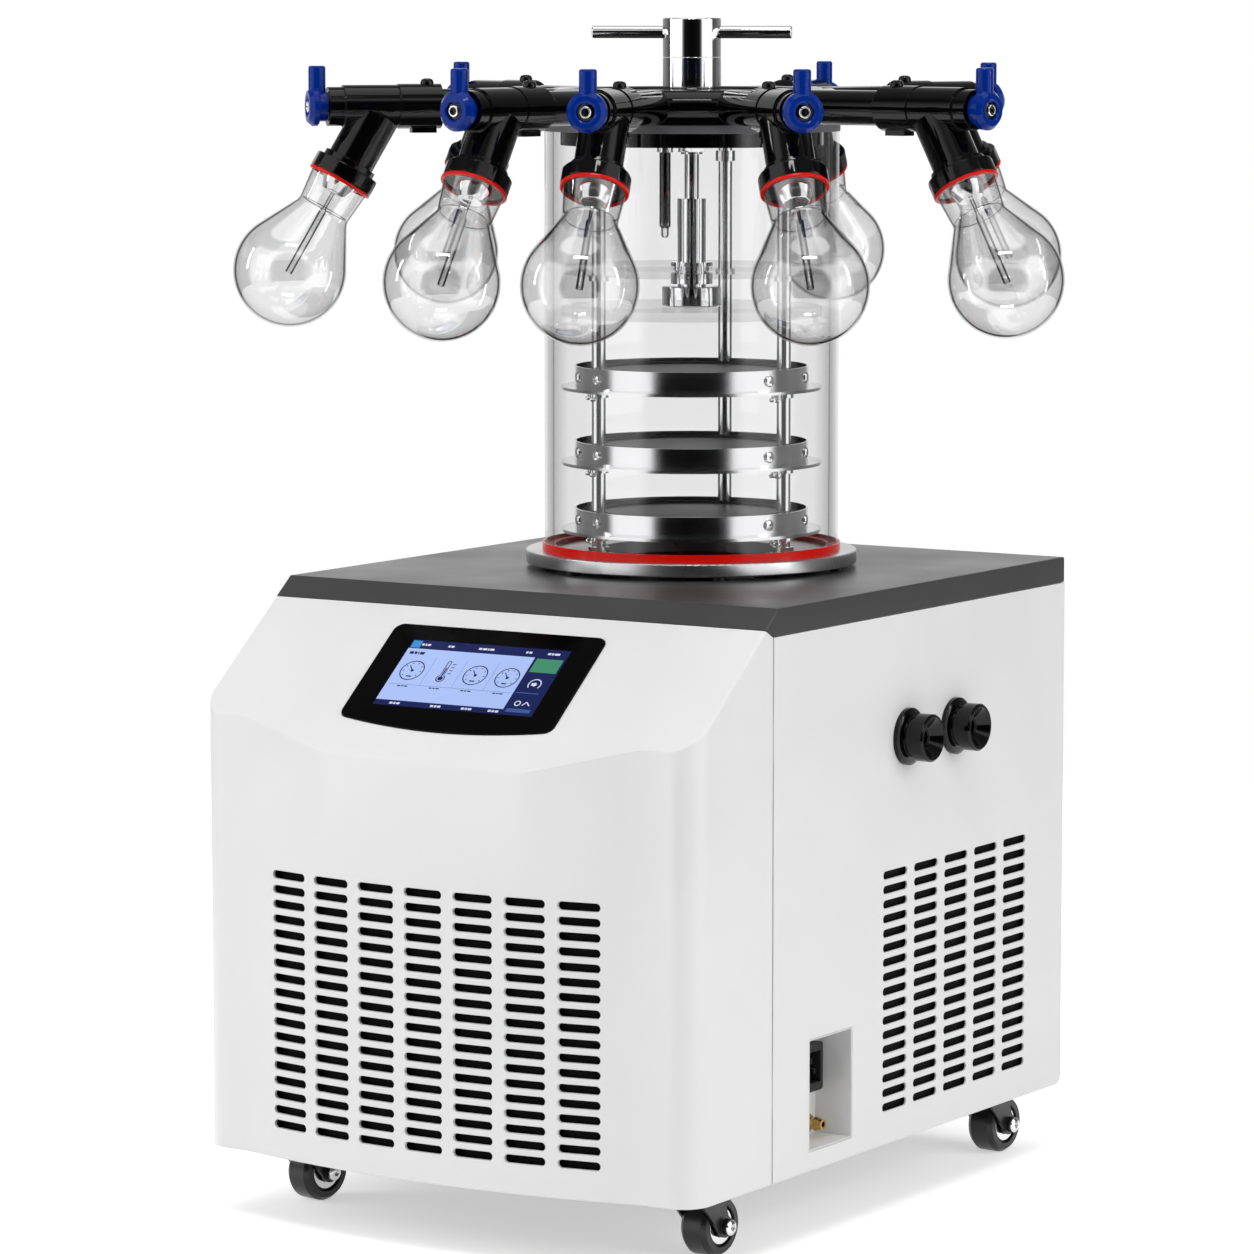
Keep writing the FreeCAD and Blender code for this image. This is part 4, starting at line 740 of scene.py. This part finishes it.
def display():
    """Lit screen with dials, a thermometer and bars in place of words."""
    draw("display_base", [rect(LEFT, TOP, RIGHT, LOW)], (0.004, 0.010, 0.09), ON_GLASS)
    draw("display_field", [rect(LEFT, TOP + 10, SIDE, LOW - 6)], (0.42, 0.55, 0.95), ON_BASE)
    marks = []
    for cx in DIALS:
        marks += dial(cx, DIAL_Y)
    marks += thermometer(TUBE_X, TUBE_Y)
    for x in (-65.0, -34.0, -3.0, 28.0):
        marks += label(x, 117.5, (3.0, 2.0, 3.4), 1.3)
    marks += label(-73.0, 78.5, (4.0, 2.5, 1.2, 4.5), 3.0)
    draw("display_marks", marks, (0.02, 0.04, 0.16), ON_FIELD, 0.4)
    lines = [rect(x, 84, x + 0.4, 116) for x in DIVIDERS] + [rect(-74, 116, 44, 116.5)]
    draw("display_lines", lines, (0.22, 0.32, 0.62), ON_FIELD, 0.8)
    white = []
    for x, widths in HEADINGS:
        white += label(x, 69, widths)
    for x in (-62, -22, 8, 34):
        white += label(x, 136.6, (3, 2.2, 3.2))
    white += [arc(62, 105, 5.2, 6.2, 140, 400, 24), rect(59, 103.5, 62, 106.5)]
    white += [arc(62, 105, 0, 2.0, steps=14), arc(57, 127, 2.0, 3.0)]
    white += [stroke(62, 129, 65, 125, 1.0), stroke(65, 125, 69, 129, 1.0)]
    draw("display_white", white, (0.75, 0.82, 1.0), ON_FIELD, 0.9)
    draw("display_green", [rect(SIDE + 2.5, 76, RIGHT - 2, 91.5)], (0.06, 0.30, 0.16), ON_BASE, 0.9)
    tile = rect(LEFT + 1, TOP + 1, LEFT + 10, TOP + 9)
    draw("display_tile", [tile], (0.05, 0.30, 0.75), ON_BASE, 0.9)
    bars = [rect(SIDE + 2.5, 114.5, RIGHT - 6, 115.6), rect(SIDE + 3, 133, RIGHT - 4, 137)]
    draw("display_bars", bars, (0.05, 0.12, 0.42), ON_BASE, 0.8)


bell()
flasks()
flask_fittings()
flask_seals()
knob_screws()
clamp_screws()
rods()
probe()
rack_screws()
caster_trim()
slot_shade_sheets()
display()


# ---- floor, world and lights ----
def sent_on(tree, rays):
    """One for the rays that metal or glass sends on."""
    glossy, through = rays.outputs["Is Glossy Ray"], rays.outputs["Is Transmission Ray"]
    return maths(tree, "MAXIMUM", glossy, through)


def set_world():
    """White for the camera, and behind the machine for metal and glass.

    Other rays see a dark wall in front, a bright soft wall each side of it and a pale top.
    """
    world = bpy.data.worlds.new("studio")
    bpy.context.scene.world = world
    world.use_nodes = True
    tree = world.node_tree
    tree.nodes.clear()
    link = tree.links.new
    out = make_node(tree, "ShaderNodeOutputWorld")
    place = make_node(tree, "ShaderNodeTexCoord")

    def along(direction):
        """How far the ray looks along a direction: 0 straight away from it, 1 straight at it."""
        dot = make_node(tree, "ShaderNodeVectorMath", operation="DOT_PRODUCT")
        link(place.outputs["Generated"], dot.inputs[0])
        dot.inputs[1].default_value = direction
        spread = make_node(tree, "ShaderNodeMapRange")
        spread.inputs["From Min"].default_value = -1.0
        link(dot.outputs["Value"], spread.inputs["Value"])
        return spread.outputs[0]

    frontal = along(TO_CAMERA)
    height = along((0.0, 0.0, 1.0))
    walls = ramp(tree, frontal, (
        (0.0, 0.95), (0.02, 0.75), (0.05, 0.25), (0.36, 0.08), (0.49, 0.05), (0.53, 0.5),
        (0.56, 1.0), (0.865, 1.0), (0.885, 0.62), (0.90, 0.20), (0.92, 0.04), (0.94, 0.006),
        (1.0, 0.002),
    ))
    ceiling = ramp(tree, height, ((0.0, 0.2), (0.935, 0.15), (0.955, 1.1), (1.0, 1.1)))
    rise = ramp(tree, height, ((0.0, 0.0), (0.80, 0.0), (0.85, 1.0), (1.0, 1.0)))
    backdrop = ramp(tree, frontal, ((0.0, 1.0), (0.02, 1.0), (0.04, 0.0), (1.0, 0.0)))
    room = make_node(tree, "ShaderNodeMix", data_type="RGBA")
    link(rise, room.inputs[0])
    link(walls, room.inputs[6])
    link(ceiling, room.inputs[7])
    studio = make_node(tree, "ShaderNodeBackground")
    link(room.outputs[2], studio.inputs["Color"])
    studio.inputs["Strength"].default_value = STUDIO_STRENGTH
    white = make_node(tree, "ShaderNodeBackground")
    white.inputs["Color"].default_value = (1, 1, 1, 1)
    rays = make_node(tree, "ShaderNodeLightPath")
    behind = maths(tree, "MULTIPLY", sent_on(tree, rays), backdrop)
    mix = make_node(tree, "ShaderNodeMixShader")
    link(maths(tree, "MAXIMUM", rays.outputs["Is Camera Ray"], behind), mix.inputs[0])
    link(studio.outputs[0], mix.inputs[1])
    link(white.outputs[0], mix.inputs[2])
    link(mix.outputs[0], out.inputs[0])


def floor():
    """White floor that keeps the shadow; what the camera, metal and glass see of it is lifted."""
    mesh = bpy.data.meshes.new("floor")
    angles = [math.radians(6 * k) for k in range(60)]
    rim = [(FLOOR_R * math.cos(a), FLOOR_R * math.sin(a), 0) for a in angles]
    mesh.from_pydata(rim, [], [list(range(60))])
    obj = bpy.data.objects.new("floor", mesh)
    bpy.context.scene.collection.objects.link(obj)
    mat, tree, out = blank("floor")
    link = tree.links.new
    fine, broad = noise_pair(tree, 300.0, (1, 1, 1))
    paint = make_node(tree, "ShaderNodeBsdfPrincipled")
    link(spread_of(tree, broad, 0.75, 0.85), paint.inputs["Roughness"])
    white = tinted(tree, (0.92, 0.92, 0.92), spread_of(tree, broad, 0.99, 1.0))
    link(white, paint.inputs["Base Color"])
    link(relief(tree, fine, 0.005), paint.inputs["Normal"])
    paint.inputs["Specular IOR Level"].default_value = 0.1
    paint.inputs["Emission Color"].default_value = (1, 1, 1, 1)
    rays = make_node(tree, "ShaderNodeLightPath")
    shown = maths(tree, "MAXIMUM", rays.outputs["Is Camera Ray"], sent_on(tree, rays))
    link(maths(tree, "MULTIPLY", shown, FLOOR_LIFT), paint.inputs["Emission Strength"])
    link(paint.outputs[0], out.inputs[0])
    mesh.materials.append(mat)


# Name, place, target, width, height, power, and whether gloss mirrors it.
LAMPS = (
    ("strip_front", (0.97, -1.52, 3.3), (0, 0, 0.9), 1.2, 0.25, 16, True),
    ("strip_left", (-2.6, -1.6, 1.6), (0, 0, 0.7), 0.22, 1.5, 10, True),
    ("strip_right", (2.9, 0.9, 1.6), (0, 0, 0.7), 0.22, 1.5, 8, True),
    ("fill_left", (-2.6, -1.6, 1.2), (0, 0, 0.4), 1.2, 1.6, 17, False),
    ("fill_right", (2.9, -0.5, 1.2), (0, 0, 0.4), 1.2, 1.6, 11, False),
    ("fill_top", (0.2, -1.2, 2.6), (0, -0.2, 0.5), 1.2, 1.2, 5.2, False),
)


def area(name, place, target, width, height, power, mirrored):
    """Soft lamp that faces its target."""
    data = bpy.data.lights.new(name, "AREA")
    data.shape = "RECTANGLE"
    data.size = width
    data.size_y = height
    data.energy = power
    obj = bpy.data.objects.new(name, data)
    bpy.context.scene.collection.objects.link(obj)
    obj.location = place
    obj.rotation_mode = "QUATERNION"
    obj.rotation_quaternion = (Vector(target) - Vector(place)).to_track_quat("-Z", "Y")
    obj.visible_glossy = mirrored


def camera():
    """Long lens from the front right, a little above the top of the machine."""
    data = bpy.data.cameras.new("camera")
    data.sensor_width = 36.0
    data.lens = LENS
    data.clip_start = 0.05
    data.clip_end = 100.0
    obj = bpy.data.objects.new("camera", data)
    bpy.context.scene.collection.objects.link(obj)
    level, rise = math.cos(CAMERA_RISE), math.sin(CAMERA_RISE)
    back = Vector((math.sin(CAMERA_TURN) * level, -math.cos(CAMERA_TURN) * level, rise))
    obj.location = CAMERA_AT
    obj.rotation_mode = "QUATERNION"
    obj.rotation_quaternion = (-back).to_track_quat("-Z", "Y")
    bpy.context.scene.camera = obj


set_world()
floor()
for lamp in LAMPS:
    area(*lamp)
camera()
bpy.context.scene.view_settings.view_transform = "Standard"
bpy.context.scene.cycles.transparent_max_bounces = 32
